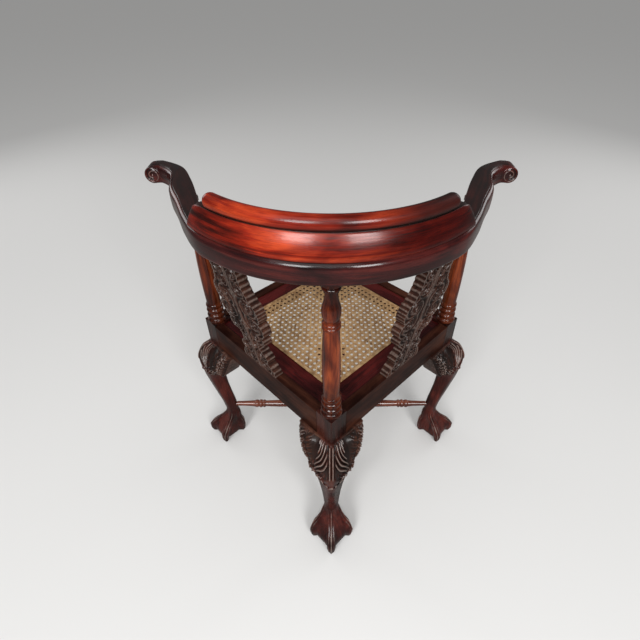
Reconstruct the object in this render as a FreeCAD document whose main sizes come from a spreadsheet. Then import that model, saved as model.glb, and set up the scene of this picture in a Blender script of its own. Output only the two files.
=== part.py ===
import FreeCAD, Part
import math
import os
import Sketcher
from FreeCAD import Placement, Rotation, Vector

os.makedirs("parts", exist_ok=True)
doc = FreeCAD.newDocument("corner_chair")
sheet = doc.addObject("Spreadsheet::Sheet", "sizes")

# Driving dimensions in millimetres
# The square seat frame stands on its corner: posts lie on the X and Y axes, the sitter faces -Y
DRIVING = {
    "seat_side": 408.0,
    "seat_height": 425.0,
    "rail_height": 64.0,
    "rail_thick": 32.0,
    "lip_width": 20.0,
    "rebate_depth": 21.0,
    "post_side": 40.0,
    "post_rise": 3.0,
    "tenon_length": 17.0,
    "tenon_thick": 10.0,
    "tenon_height": 32.0,
    "tenon_drop": 4.0,
    "tenon_set_in": 12.0,
    "round_gap": 0.3,
    "seat_gap": 1.5,
    "frame_width": 46.5,
    "frame_thick": 18.0,
    "frame_tenon": 22.0,
    "frame_tongue": 6.0,
    "tongue_inner": 8.0,
    "tongue_outer": 10.0,
    "cane_overlap": 10.0,
    "cane_thick": 1.4,
    "cane_openings": 12,
    "cane_bar": 8.0,
    "binding_width": 6.0,
    "binding_thick": 1.2,
    "block_reach": 62.0,
    "block_height": 28.0,
    "screw_dia": 4.5,
    "screw_head_dia": 8.5,
    "screw_head": 4.0,
    "block_screw": 34.0,
    "block_screw_sink": 17.0,
    "crest_screw": 46.0,
    "knee_bulge": 25.0,
    "bracket_end": 85.0,
    "bracket_drop": 80.0,
    "ankle_side": 30.0,
    "foot_splay": 39.8,
    "foot_reach": 46.0,
    "foot_side": 60.0,
    "foot_height": 64.0,
    "stretcher_height": 118.0,
    "stretcher_dia": 19.0,
    "stretcher_block": 26.0,
    "stretcher_tenon_dia": 11.0,
    "column_dia": 32.0,
    "column_top_dia": 26.0,
    "column_collar": 41.0,
    "column_tenon_dia": 17.0,
    "column_tenon": 20.0,
    "arm_bottom": 721.0,
    "arm_thick": 36.0,
    "arm_overhang": 18.8,
    "arm_width": 45.0,
    "arm_sweep": 58.0,
    "arm_front": 67.0,
    "scroll_radius": 17.0,
    "scroll_width": 36.0,
    "crest_set_in": 5.0,
    "crest_band": 38.0,
    "crest_lean": 14.0,
    "crest_roll": 12.0,
    "crest_corner": 16.0,
    "crest_angle": 51.0,
    "roll_angle": 41.5,
    "splat_thick": 18.0,
    "splat_half": 50.0,
    "splat_relief": 3.0,
    "splat_rim": 5.0,
    "splat_tenon": 12.0,
    "splat_tenon_thick": 10.0,
    "splat_tenon_half": 26.0,
}

# Sizes that follow from the driving ones, as formulas in the sheet
FOLLOWING = {
    "half": "seat_side / 2",
    "post_in": "half - post_side",
    "post_mid": "(seat_side - post_side) / 2 * sqrt(2)",
    "rail_low": "seat_height - rail_height",
    "rail_in": "half - rail_thick",
    "lip_in": "half - lip_width",
    "rebate_floor": "seat_height - rebate_depth",
    "block_low": "rebate_floor - tenon_drop - block_height",
    "block_screw_along": "post_in - block_reach * 0.45",
    "block_screw_height": "block_low + block_height / 2",
    "shank_hole": "screw_dia / 2 + round_gap",
    "head_hole": "screw_head_dia / 2 + round_gap",
    "post_top": "seat_height + post_rise",
    "tenon_top": "rebate_floor - tenon_drop",
    "tenon_low": "tenon_top - tenon_height",
    "tenon_out": "half - tenon_set_in",
    "tenon_in": "tenon_out - tenon_thick",
    "tenon_reach": "post_in + tenon_length",
    "frame_out": "lip_in - seat_gap",
    "frame_in": "frame_out - frame_width",
    "frame_top": "rebate_floor + frame_thick",
    "notch_in": "post_in - seat_gap",
    "tongue_low": "rebate_floor + (frame_thick - frame_tongue) / 2",
    "tongue_reach": "frame_in + frame_tenon",
    "cane_half": "frame_in + cane_overlap",
    "cane_top": "frame_top + cane_thick",
    "arm_outer": "post_mid + arm_overhang",
    "arm_end": "arm_outer + arm_sweep",
    "arm_top": "arm_bottom + arm_thick",
    "arm_inner": "arm_outer - arm_width",
    "splat_height": "arm_bottom - seat_height",
    "splat_lean": "arm_inner - half + splat_thick",
    "foot_centre": "post_mid + foot_splay",
    "ankle_radius": "foot_centre - foot_splay * 0.63",
}

POST_ANGLES = {"left": 0, "back": 90, "right": 180, "front": 270}
RAIL_ANGLES = {"back_left": 45, "back_right": 135, "front_right": 225, "front_left": 315}


def fill_sheet():
    """Write every size into the sheet, one row each, under its own alias."""
    row = 1
    for name, amount in DRIVING.items():
        sheet.set(f"A{row}", name)
        sheet.set(f"B{row}", str(amount))
        sheet.setAlias(f"B{row}", name)
        row += 1
    for name, formula in FOLLOWING.items():
        sheet.set(f"A{row}", name)
        sheet.set(f"B{row}", "=" + formula)
        sheet.setAlias(f"B{row}", name)
        row += 1
    doc.recompute()


fill_sheet()


def size(name):
    """Value of one alias of the sheet."""
    return float(sheet.get(name))


def bind(thing, prop, formula):
    """Drive a property from the sheet; each word of the formula that is an alias gets its sheet name."""
    words = []
    for word in formula.replace("(", "( ").replace(")", " )").split():
        plain = word.lstrip("-")
        if plain in DRIVING or plain in FOLLOWING:
            word = word.replace(plain, "sizes." + plain)
        words.append(word)
    thing.setExpression(prop, " ".join(words))


def new_body(name):
    """Empty PartDesign body with its file name as label."""
    body = doc.addObject("PartDesign::Body", name)
    body.Label = name
    return body


def plane_of(body, role):
    return next(item for item in body.Origin.OriginFeatures if item.Role == role)


def sketch_on(body, role, name, edges):
    """Sketch on one of the body's own origin planes, made of the given plane curves."""
    sketch = body.newObject("Sketcher::SketchObject", name)
    sketch.AttachmentSupport = [(plane_of(body, role), "")]
    sketch.MapMode = "FlatFace"
    for edge in edges:
        sketch.addGeometry(edge, False)
    doc.recompute()
    return sketch


def lines(points):
    """Closed chain of straight edges."""
    corners = [Vector(a, b, 0) for a, b in points]
    return [Part.LineSegment(p, q) for p, q in zip(corners, corners[1:] + corners[:1])]


def box_lines(low_a, low_b, high_a, high_b):
    return lines([(low_a, low_b), (high_a, low_b), (high_a, high_b), (low_a, high_b)])


def arc(a, b, c):
    return Part.Arc(Vector(*a, 0), Vector(*b, 0), Vector(*c, 0))


def line(a, b):
    return Part.LineSegment(Vector(*a, 0), Vector(*b, 0))


def pad(body, sketch, name, formula, midplane=False):
    """Pad whose length follows the sheet."""
    feature = body.newObject("PartDesign::Pad", name)
    feature.Profile = sketch
    feature.Midplane = midplane
    bind(feature, "Length", formula)
    doc.recompute()
    return feature


def pocket(body, sketch, name, formula, midplane=False, backward=False):
    """Pocket whose depth follows the sheet; stops the build if it removes nothing."""
    before = body.Shape.Volume
    feature = body.newObject("PartDesign::Pocket", name)
    feature.Profile = sketch
    feature.Midplane = midplane
    feature.Reversed = backward
    bind(feature, "Length", formula)
    doc.recompute()
    if body.Shape.Volume > before - 1.0:
        raise RuntimeError(body.Label + " " + name + " cuts nothing")
    return feature


def turn(body, sketch, name):
    """Full revolution about the body's vertical axis."""
    feature = body.newObject("PartDesign::Revolution", name)
    feature.Profile = sketch
    feature.ReferenceAxis = (sketch, ["V_Axis"])
    feature.Angle = 360
    doc.recompute()
    return feature


def place(thing, angle=0.0, x=0.0, y=0.0, z=0.0):
    """Turn about the chair's vertical axis, after a shift in the piece's own frame."""
    spin = Rotation(Vector(0, 0, 1), angle)
    thing.Placement = Placement(spin.multVec(Vector(x, y, z)), spin)
    doc.recompute()


def feature_from(name, shape, angle=0.0):
    """Plain feature for a form that sketches don't give, in the same frame as the bodies."""
    feature = doc.addObject("Part::Feature", name)
    feature.Label = name
    feature.Shape = shape
    feature.Placement = Placement(Vector(), Rotation(Vector(0, 0, 1), angle))
    return feature


def box(x0, y0, z0, x1, y1, z1):
    return Part.makeBox(x1 - x0, y1 - y0, z1 - z0, Vector(x0, y0, z0))


def turned(shape, angle):
    """Copy of a shape, turned about the chair's vertical axis."""
    copy = shape.copy()
    copy.rotate(Vector(), Vector(0, 0, 1), angle)
    return copy


def screw(length, start, direction):
    """Wood screw as a shank with a flat head, whose outer face is at start."""
    shank = Part.makeCylinder(size("screw_dia") / 2, length, start, direction)
    head = Part.makeCylinder(size("screw_head_dia") / 2, size("screw_head"), start, direction)
    return shank.fuse(head).removeSplitter()


def screw_room(length, start, direction):
    """Room for one screw: the shank's hole and the sunk seat of its head."""
    shank = Part.makeCylinder(size("shank_hole"), length + 1, start, direction)
    head = Part.makeCylinder(size("head_hole"), size("screw_head"), start, direction)
    return shank.fuse(head)


def bores(body, name, role, offset, centres, radius, depth, backward):
    """Round pockets of one radius and depth, drilled from a plane at the given offset."""
    rings = [Part.Circle(Vector(a, b, 0), Vector(0, 0, 1), size(radius)) for a, b in centres]
    sketch = sketch_on(body, role, "bores_" + name, rings)
    sketch.AttachmentOffset = Placement(Vector(0, 0, offset), Rotation())
    pocket(body, sketch, "bore_cut_" + name, depth, backward=backward)


# Seat rails: rebated inside for the drop-in seat, tenoned into the posts
# In its own frame a rail lies along X with its outer face at y = half

def splat_mortise(z_low, z_high, y_mid, room):
    """Slot for a splat's tenon in the rail's frame."""
    reach = size("splat_tenon_half") + room
    side = size("splat_tenon_thick") / 2 + room
    return box(-reach, y_mid - side, z_low, reach, y_mid + side, z_high)


def splat_foot_mid():
    """Middle of the splat's tenon in the rail, measured from the chair's axis."""
    return size("half") - size("splat_thick") / 2


def make_rail(name, angle, carries_splat):
    rail = new_body("rail_" + name)
    half, inner, lip = size("half"), size("rail_in"), size("lip_in")
    low, top, floor = size("rail_low"), size("seat_height"), size("rebate_floor")
    section = [(inner, low), (half, low), (half, top), (lip, top), (lip, floor), (inner, floor)]
    sketch = sketch_on(rail, "YZ_Plane", "section_" + name, lines(section))
    pad(rail, sketch, "rail_pad_" + name, "2 * post_in", True)
    ends = box_lines(size("tenon_in"), size("tenon_low"), size("tenon_out"), size("tenon_top"))
    sketch = sketch_on(rail, "YZ_Plane", "tenon_" + name, ends)
    pad(rail, sketch, "tenon_pad_" + name, "2 * tenon_reach", True)
    if carries_splat:
        reach, mid = size("splat_tenon_half"), splat_foot_mid()
        side = size("splat_tenon_thick") / 2
        slot = box_lines(-reach, mid - side, reach, mid + side)
        sketch = sketch_on(rail, "XY_Plane", "slot_" + name, slot)
        sketch.AttachmentOffset = Placement(Vector(0, 0, top), Rotation())
        pocket(rail, sketch, "slot_cut_" + name, "splat_tenon")
    along, height = size("block_screw_along"), size("block_screw_height")
    bores(rail, name, "XZ_Plane", -inner, [(-along, height), (along, height)], "shank_hole",
          "block_screw - block_screw_sink + 1", False)
    place(rail, angle - 90)
    return rail


# Cabriole legs with claw feet
# In its own frame a leg's outward direction is +X, so its square sections stand on a corner

def rounded_square(radius, side, corner, z):
    """Square wire with rounded corners, one corner pointing outward."""
    s = side / 2
    c = min(corner, s * 0.98)
    k = c * math.sqrt(0.5)
    edges = []
    for quarter in range(4):
        a = Vector(s, -(s - c), 0)
        b = Vector(s, s - c, 0)
        m = Vector(s - c + k, s - c + k, 0)
        d = Vector(s - c, s, 0)
        edges.append((Part.LineSegment(a, b).toShape(), Part.Arc(b, m, d).toShape(), quarter * 90))
    shapes = []
    for straight, bend, angle in edges:
        for edge in (straight, bend):
            edge.rotate(Vector(), Vector(0, 0, 1), angle + 45)
            edge.translate(Vector(radius, 0, z))
            shapes.append(edge)
    return Part.Wire(Part.__sortEdges__(shapes))


def leg_stem():
    """Loft from the rail's foot over the bulging knee and the thin ankle to the broad foot."""
    low, mid, side = size("rail_low"), size("post_mid"), size("post_side")
    bulge, ankle = size("knee_bulge"), size("ankle_side")
    ankle_mid, foot_mid = size("ankle_radius"), size("foot_centre")
    foot, tall = size("foot_side"), size("foot_height")
    knee_mid = mid + bulge * 1.08
    sections = [
        (low, mid, side, 0.05),
        (low * 0.956, mid + bulge * 0.5, side * 1.375, 0.15),
        (low * 0.856, knee_mid, side * 1.575, 0.22),
        (low * 0.701, knee_mid + bulge * 0.36, side * 1.125, 0.31),
        (low * 0.584, knee_mid + bulge * 0.2, side * 0.925, 0.32),
        (low * 0.474, knee_mid - bulge * 0.08, (side + ankle) * 0.47, 0.32),
        (low * 0.366, ankle_mid + bulge * 0.12, ankle, 0.33),
        (low * 0.252, ankle_mid, ankle * 0.96, 0.34),
        (tall * 1.19, ankle_mid + bulge * 0.16, ankle * 1.22, 0.33),
        (tall * 0.8, foot_mid - bulge * 0.36, foot * 0.8, 0.37),
        (tall * 0.45, foot_mid - bulge * 0.04, foot, 0.3),
        (tall * 0.16, foot_mid, foot * 0.97, 0.27),
        (0.0, foot_mid, foot * 0.8, 0.29),
    ]
    wires = [rounded_square(radius, side, side * corner, z) for z, radius, side, corner in sections]
    return Part.makeLoft(wires, True, False)


def claw(angle):
    """One toe: round sections along a bent line from the ankle to the floor."""
    ankle, centre = size("ankle_radius"), size("foot_centre")
    reach, h = size("foot_reach"), size("foot_height")
    way = Vector(math.cos(math.radians(angle)), math.sin(math.radians(angle)), 0)
    steps = [(0.0, reach * 0.11, h * 1.5, reach * 0.2), (0.35, reach * 0.33, h * 1.1, reach * 0.21),
             (0.8, reach * 0.72, h * 0.66, reach * 0.24), (1.0, reach * 0.86, h * 0.3, reach * 0.2),
             (1.0, reach * 0.87, h * 0.008, reach * 0.1)]
    points = [Vector(ankle + (centre - ankle) * s, 0, z) + way * q for s, q, z, radius in steps]
    wires = []
    for index, (s, q, z, radius) in enumerate(steps):
        ahead = points[min(index + 1, len(points) - 1)]
        behind = points[max(index - 1, 0)]
        ring = Part.Circle(points[index], ahead - behind, radius)
        wires.append(Part.Wire(ring.toShape()))
    return Part.makeLoft(wires, True, False)


def rail_mortises():
    """Two slots in the post for the rails' tenons, in the leg's frame."""
    cuts = []
    for side in (-1, 1):
        reach = size("tenon_reach")
        slot = box(size("post_in") - 1, size("tenon_in"), size("tenon_low"),
                   reach, size("tenon_out"), size("tenon_top"))
        slot.rotate(Vector(), Vector(0, 0, 1), -45)
        if side < 0:
            slot = slot.mirror(Vector(), Vector(0, 1, 0))
        cuts.append(slot)
    return cuts


def stretcher_hole():
    radius = size("stretcher_tenon_dia") / 2 + size("round_gap")
    ankle = size("ankle_side")
    start = Vector(size("ankle_radius") - ankle, 0, size("stretcher_height"))
    return Part.makeCylinder(radius, ankle * 1.2, start, Vector(1, 0, 0))


def column_hole(z, depth):
    radius = size("column_tenon_dia") / 2 + size("round_gap")
    return Part.makeCylinder(radius, depth, Vector(size("post_mid"), 0, z))


def seat_corner_cut():
    """The front post is lowered inside the lip, so the drop-in seat's corner rests on it."""
    out = size("lip_in")
    cut = box(0, 0, size("rebate_floor"), out, out, size("post_top") + 1)
    cut.rotate(Vector(), Vector(0, 0, 1), -45)
    return cut


def make_leg(name, angle):
    side, mid = size("post_side"), size("post_mid")
    carries_column = name != "front"
    top = size("post_top") if carries_column else size("seat_height")
    post = Part.makeBox(side, side, top - size("rail_low"), Vector(-side / 2, -side / 2, 0))
    post.rotate(Vector(), Vector(0, 0, 1), 45)
    post.translate(Vector(mid, 0, size("rail_low")))
    shape = leg_stem()
    for piece in [post] + [claw(turn_by) for turn_by in (0, 90, 180, 270)]:
        before = shape.Volume
        shape = shape.fuse(piece)
        if shape.Volume < before + 100 or len(shape.Solids) != 1:
            raise RuntimeError("leg_" + name + " lost a piece")
    cuts = rail_mortises() + [stretcher_hole()]
    if carries_column:
        cuts.append(column_hole(size("post_top") - size("column_tenon") - 1, size("column_tenon") + 2))
    else:
        cuts.append(seat_corner_cut())
    shape = shape.cut(cuts)
    return feature_from("leg_" + name, shape.Solids[0], angle)


# Knee brackets: the carved ears beside each knee, glued under the rail
# Worked out in the rail's frame, where s runs along the rail from the chair's corner

def bracket_section(s, out, drop, back):
    """Profile across the rail: flat back and top, front swelling out below the rail's face."""
    half, low = size("half"), size("rail_low")
    a = Vector(s, half - back, low)
    b = Vector(s, half, low)
    c = Vector(s, half + out, low - drop * 0.42)
    d = Vector(s, half + out * 0.72, low - drop)
    e = Vector(s, half - back, low - drop)
    m = Vector(s, half + out * 0.8, low - drop * 0.14)
    n = Vector(s, half + out * 0.98, low - drop * 0.72)
    edges = [
        Part.LineSegment(a, b).toShape(),
        Part.Arc(b, m, c).toShape(),
        Part.Arc(c, n, d).toShape(),
        Part.LineSegment(d, e).toShape(),
        Part.LineSegment(e, a).toShape(),
    ]
    return Part.Wire(edges)


def make_bracket(name, angle, side):
    post_in, half = size("post_in"), size("half")
    end = half - size("bracket_end")
    bulge, drop = size("knee_bulge"), size("bracket_drop")
    back = size("post_side") * 0.7
    stations = [(0.0, 1.0, 1.0), (0.34, 0.94, 0.96), (0.6, 0.74, 0.7), (0.82, 0.46, 0.36), (1.0, 0.14, 0.1)]
    wires = [bracket_section(post_in + (end - post_in) * t, bulge * k, drop * d, back) for t, k, d in stations]
    shape = Part.makeLoft(wires, True, False)
    shape = shape.cut(leg_keepout())
    solid = max(shape.Solids, key=lambda item: item.Volume)
    if side < 0:
        solid = solid.mirror(Vector(), Vector(1, 0, 0))
    return feature_from(name, solid, angle - 90)


def leg_keepout():
    """The leg's stem in the rail's frame, which a bracket fits against."""
    stem = leg_stem()
    stem.rotate(Vector(), Vector(0, 0, 1), 45)
    return stem


# Corner blocks inside the frame, screwed to the rails

def make_block(name, angle):
    """Five-sided block in the corner, drilled and counterbored for one screw into each rail."""
    block = new_body("corner_block_" + name)
    inner, post = size("rail_in"), size("post_in")
    far = inner - size("block_reach")
    outline = [(inner, far), (inner, post), (post, post), (post, inner), (far, inner)]
    sketch = sketch_on(block, "XY_Plane", "outline_" + name, lines(outline))
    sketch.AttachmentOffset = Placement(Vector(0, 0, size("block_low")), Rotation())
    pad(block, sketch, "block_pad_" + name, "block_height")
    centre = [(size("block_screw_along"), size("block_screw_height"))]
    seat = inner - size("block_screw_sink") + size("screw_head")
    shank_depth = "block_screw_sink - screw_head + 1"
    bores(block, name + "_1", "XZ_Plane", -inner, centre, "shank_hole", shank_depth, True)
    bores(block, name + "_2", "XZ_Plane", -seat, centre, "head_hole", "block_screw_sink", True)
    bores(block, name + "_3", "YZ_Plane", inner, centre, "shank_hole", shank_depth, False)
    bores(block, name + "_4", "YZ_Plane", seat, centre, "head_hole", "block_screw_sink", False)
    place(block, angle - 45)
    return block


def make_corner_screws():
    """Two screws through every corner block, one into each rail."""
    start = Vector(size("block_screw_along"), size("rail_in") - size("block_screw_sink"), size("block_screw_height"))
    screws = []
    for angle in POST_ANGLES.values():
        along_y = screw(size("block_screw"), start, Vector(0, 1, 0))
        along_x = screw(size("block_screw"), Vector(start.y, start.x, start.z), Vector(1, 0, 0))
        screws += [turned(along_y, angle - 45), turned(along_x, angle - 45)]
    feature_from("corner_screws", Part.makeCompound(screws))


# Drop-in seat: mortised frame, cane and binding

def make_stile(name, angle, notched):
    """Full-length member, notched where it passes a post."""
    stile = new_body("seat_stile_" + name)
    out, inner, notch = size("frame_out"), size("frame_in"), size("notch_in")
    outline = [(-out, inner), (out, inner)]
    outline += [(out, notch), (notch, notch), (notch, out)] if 1 in notched else [(out, out)]
    outline += [(-notch, out), (-notch, notch), (-out, notch)] if -1 in notched else [(-out, out)]
    sketch = sketch_on(stile, "XY_Plane", "outline_" + name, lines(outline))
    sketch.AttachmentOffset = Placement(Vector(0, 0, size("rebate_floor")), Rotation())
    pad(stile, sketch, "stile_pad_" + name, "frame_thick")
    reach, tongue = size("tongue_reach"), size("frame_tongue")
    for side in (-1, 1):
        a, b = sorted((side * (inner + size("tongue_inner")), side * (out - size("tongue_outer"))))
        slot = box_lines(a, inner - 1, b, reach)
        sketch = sketch_on(stile, "XY_Plane", f"slot_{name}_{side + 1}", slot)
        sketch.AttachmentOffset = Placement(Vector(0, 0, size("tongue_low") + tongue), Rotation())
        pocket(stile, sketch, f"slot_cut_{name}_{side + 1}", "frame_tongue")
    place(stile, angle - 90)
    return stile


def make_seat_rail(name, angle):
    """Member between the stiles, with a tongue at each end."""
    rail = new_body("seat_rail_" + name)
    out, inner = size("frame_out"), size("frame_in")
    body = box_lines(-inner, inner, inner, out)
    sketch = sketch_on(rail, "XY_Plane", "outline_" + name, body)
    sketch.AttachmentOffset = Placement(Vector(0, 0, size("rebate_floor")), Rotation())
    pad(rail, sketch, "frame_pad_" + name, "frame_thick")
    reach = size("tongue_reach")
    tongue = box_lines(-reach, inner + size("tongue_inner"), reach, out - size("tongue_outer"))
    sketch = sketch_on(rail, "XY_Plane", "tongue_" + name, tongue)
    sketch.AttachmentOffset = Placement(Vector(0, 0, size("tongue_low")), Rotation())
    pad(rail, sketch, "tongue_pad_" + name, "frame_tongue")
    place(rail, angle - 90)
    return rail


def cane_grid():
    """Square openings of the cane's mesh, drawn wider than the real weave's."""
    count, bar, reach = int(size("cane_openings")), size("cane_bar"), size("frame_in")
    pitch = (2 * reach - bar) / count
    starts = [-reach + bar + i * pitch for i in range(count)]
    edges = []
    for x in starts:
        for y in starts:
            edges += box_lines(x, y, x + pitch - bar, y + pitch - bar)
    return edges


def make_cane():
    cane = new_body("cane_panel")
    reach = size("cane_half")
    edges = box_lines(-reach, -reach, reach, reach) + cane_grid()
    sketch = sketch_on(cane, "XY_Plane", "cane_outline", edges)
    sketch.AttachmentOffset = Placement(Vector(0, 0, size("frame_top")), Rotation())
    pad(cane, sketch, "cane_pad", "cane_thick")
    place(cane, 45)
    return cane


def make_binding():
    """Flat strip of cane that covers the holes along the panel's edge."""
    binding = new_body("cane_binding")
    outer = size("cane_half")
    inner = outer - size("binding_width")
    edges = box_lines(-outer, -outer, outer, outer) + box_lines(-inner, -inner, inner, inner)
    sketch = sketch_on(binding, "XY_Plane", "binding_outline", edges)
    sketch.AttachmentOffset = Placement(Vector(0, 0, size("cane_top")), Rotation())
    pad(binding, sketch, "binding_pad", "binding_thick")
    place(binding, 45)
    return binding


# Turned columns under the arms

def column_profile():
    """Half outline from the lower tenon up to the upper one; u is a thirty-second of the diameter."""
    base, top = size("post_top"), size("arm_bottom")
    shaft, neck, collar = size("column_dia") / 2, size("column_top_dia") / 2, size("column_collar") / 2
    peg, tenon, u = size("column_tenon_dia") / 2, size("column_tenon"), size("column_dia") / 32
    edges = [line((0, base - tenon), (peg, base - tenon)), line((peg, base - tenon), (peg, base))]
    spot = (peg, base)

    def run_to(radius, height):
        nonlocal spot
        edges.append(line(spot, (radius, height)))
        spot = (radius, height)

    def swell_to(radius, height, swell):
        """Bead, or a hollow where the swell is negative, measured from the chord's wider end."""
        nonlocal spot
        start = max(spot[0], radius) if swell > 0 else (spot[0] + radius) / 2
        edges.append(arc(spot, (start + swell, (spot[1] + height) / 2), (radius, height)))
        spot = (radius, height)

    run_to(collar, base)
    swell_to(collar - u, base + 7 * u, 0.4 * u)
    swell_to(shaft + u, base + 12 * u, -1.2 * u)
    swell_to(shaft + u, base + 21 * u, 2.2 * u)
    swell_to(shaft + 0.5 * u, base + 26 * u, -u)
    swell_to(shaft + 0.5 * u, base + 35 * u, 2 * u)
    swell_to(shaft, base + 39 * u, -0.8 * u)
    swell_to(shaft, base + 48 * u, 1.8 * u)
    run_to(shaft - u, base + 52 * u)
    middle = ((spot[0] + neck) / 2 + 1.6 * u, (spot[1] + top - 89 * u) / 2)
    edges.append(arc(spot, middle, (neck, top - 89 * u)))
    spot = (neck, top - 89 * u)
    swell_to(neck, top - 82 * u, 1.9 * u)
    swell_to(neck - 0.5 * u, top - 75 * u, 1.7 * u)
    run_to(neck - 1.5 * u, top - 72 * u)
    edges.append(arc(spot, (shaft - 0.8 * u, top - 55 * u), (neck, top - 42 * u)))
    spot = (neck, top - 42 * u)
    swell_to(neck - 3.2 * u, top - 16 * u, -1.2 * u)
    swell_to(neck - u, top - 9 * u, 2.4 * u)
    run_to(neck + 2 * u, top - 6 * u)
    run_to(neck + 2 * u, top)
    run_to(peg, top)
    run_to(peg, top + tenon)
    run_to(0, top + tenon)
    edges.append(line(spot, (0, base - tenon)))
    return edges


def make_column(name, angle):
    column = new_body("column_" + name)
    sketch = sketch_on(column, "XZ_Plane", "turning_" + name, column_profile())
    turn(column, sketch, "turned_" + name)
    place(column, angle, x=size("post_mid"))
    return column


# Crossed stretchers between opposite legs, halved over each other

def stretcher_profile():
    """Half outline along the stretcher, as (radius, place); u is a nineteenth of its diameter."""
    u = size("stretcher_dia") / 19
    end = size("ankle_radius") - size("ankle_side") / 2 - 1.5 * u
    peg, tenon = size("stretcher_tenon_dia") / 2, size("ankle_side") * 0.44
    shaft, swell = size("stretcher_dia") / 2, size("stretcher_block") / 2

    def stop(radius, back):
        return shaft + radius * u, end - back * u

    side = [
        line((0, end + tenon), (peg, end + tenon)),
        line((peg, end + tenon), (peg, end)),
        line((peg, end), (peg + u, end)),
        arc((peg + u, end), (peg + 1.4 * u, end - 24 * u), stop(-1, 48)),
        arc(stop(-1, 48), stop(1, 54), stop(-1.5, 60)),
        arc(stop(-1.5, 60), stop(1.5, 65), stop(-1.5, 70)),
        arc(stop(-1.5, 70), stop(1, 74), stop(-1.5, 78)),
        arc(stop(-1.5, 78), stop(0, 130), (shaft - u, swell + 16 * u)),
        arc((shaft - u, swell + 16 * u), (shaft + 1.5 * u, swell + 12 * u), (shaft - u, swell + 8 * u)),
        line((shaft - u, swell + 8 * u), (shaft - u, -swell - 8 * u)),
    ]
    mirrored = []
    for edge in side[:-1]:
        copy = edge.copy()
        copy.mirror(Vector(), Vector(1, 0, 0))
        mirrored.append(copy)
    axis = line((0, end + tenon), (0, -end - tenon))
    return side + mirrored, axis


def make_stretcher(name, angle, keeps_top):
    """Turned bar with a square block in the middle, of which one half is cut away."""
    body = new_body("stretcher_" + name)
    edges, axis = stretcher_profile()
    sketch = sketch_on(body, "XZ_Plane", "turning_" + name, edges + [axis])
    turn(body, sketch, "turned_" + name)
    swell = size("stretcher_block") / 2
    square = sketch_on(body, "XZ_Plane", "block_" + name, box_lines(-swell, -swell * 1.46, swell, swell * 1.46))
    pad(body, square, "block_pad_" + name, "stretcher_block", True)
    low, high = (0, swell + 1) if keeps_top else (-swell - 1, 0)
    cut = sketch_on(body, "XZ_Plane", "lap_" + name, box_lines(low, -swell, high, swell))
    pocket(body, cut, "lap_cut_" + name, "stretcher_block + 2", True)
    flat = Rotation(Vector(0, 1, 0), 90)
    spin = Rotation(Vector(0, 0, 1), angle)
    body.Placement = Placement(Vector(0, 0, size("stretcher_height")), spin.multiply(flat))
    doc.recompute()
    return body


# Arms: a horseshoe of two halves that meet behind, with outward scrolled ends
# The left half is modelled and mirrored for the right one

def arm_plan():
    """Outline of the left arm from above: ring, then a sweep outward to the scroll."""
    outer, inner = size("arm_outer"), size("arm_inner")
    end, front = size("arm_end"), size("arm_front")
    far, near = -front - size("scroll_width") / 2, -front + size("scroll_width") / 2
    tip, u = end - size("scroll_radius") * 0.8, outer / 279

    def on_ring(radius, degrees):
        turn_by = math.radians(degrees)
        return Vector(radius * math.sin(turn_by), radius * math.cos(turn_by), 0)

    ring_out = Part.Arc(on_ring(outer, 0), on_ring(outer, 23), on_ring(outer, 46))
    ring_in = Part.Arc(on_ring(inner, 0), on_ring(inner, 37), on_ring(inner, 74))

    def sweep(points, start_way, end_way):
        curve = Part.BSplineCurve()
        curve.interpolate(Points=points, InitialTangent=start_way, FinalTangent=end_way)
        return curve

    out_way = Vector(math.cos(math.radians(46)), -math.sin(math.radians(46)), 0)
    in_way = Vector(math.cos(math.radians(74)), -math.sin(math.radians(74)), 0)
    across = Vector(1, 0, 0)
    outside = sweep([on_ring(outer, 46), on_ring(outer - 7 * u, 58), on_ring(outer - 8 * u, 70), on_ring(outer + 4 * u, 82),
                     Vector(outer + 17 * u, -20 * u, 0), Vector(tip, near, 0)], out_way * 60 * u, across * 30 * u)
    inside = sweep([on_ring(inner, 74), Vector(inner + 16 * u, 2 * u, 0), Vector(inner + 46 * u, -54 * u, 0),
                    Vector(tip, far, 0)], in_way * 60 * u, across * 40 * u)
    edges = [
        Part.LineSegment(on_ring(inner, 0), on_ring(outer, 0)).toShape(),
        ring_out.toShape(),
        outside.toShape(),
        Part.LineSegment(Vector(tip, near, 0), Vector(end, near, 0)).toShape(),
        Part.LineSegment(Vector(end, near, 0), Vector(end, far, 0)).toShape(),
        Part.LineSegment(Vector(end, far, 0), Vector(tip, far, 0)).toShape(),
        inside.toShape(),
        ring_in.toShape(),
    ]
    return Part.Face(Part.Wire(Part.__sortEdges__(edges)))


def scroll_end():
    """Rolled-over end of the arm: a drooping roll across its tip."""
    radius, front = size("scroll_radius"), size("arm_front")
    centre = Vector(size("arm_end"), -front - size("scroll_width") / 2, size("arm_top") - radius)
    return Part.makeCylinder(radius, size("scroll_width"), centre, Vector(0, 1, 0))


def outer_edges(shape, z):
    """Edges of the arm's long outer side at one height, for the moulded nosing."""
    picked = []
    for edge in shape.Edges:
        spots = [edge.valueAt(edge.FirstParameter + k * (edge.LastParameter - edge.FirstParameter))
                 for k in (0.1, 0.5, 0.9)]
        level = all(abs(p.z - z) < 0.01 for p in spots)
        outside = all(math.hypot(p.x, p.y) > size("arm_outer") * 0.95 for p in spots)
        near = all(p.y > -size("arm_front") + size("scroll_width") * 0.45 for p in spots)
        if level and outside and near:
            picked.append(edge)
    return picked


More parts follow.
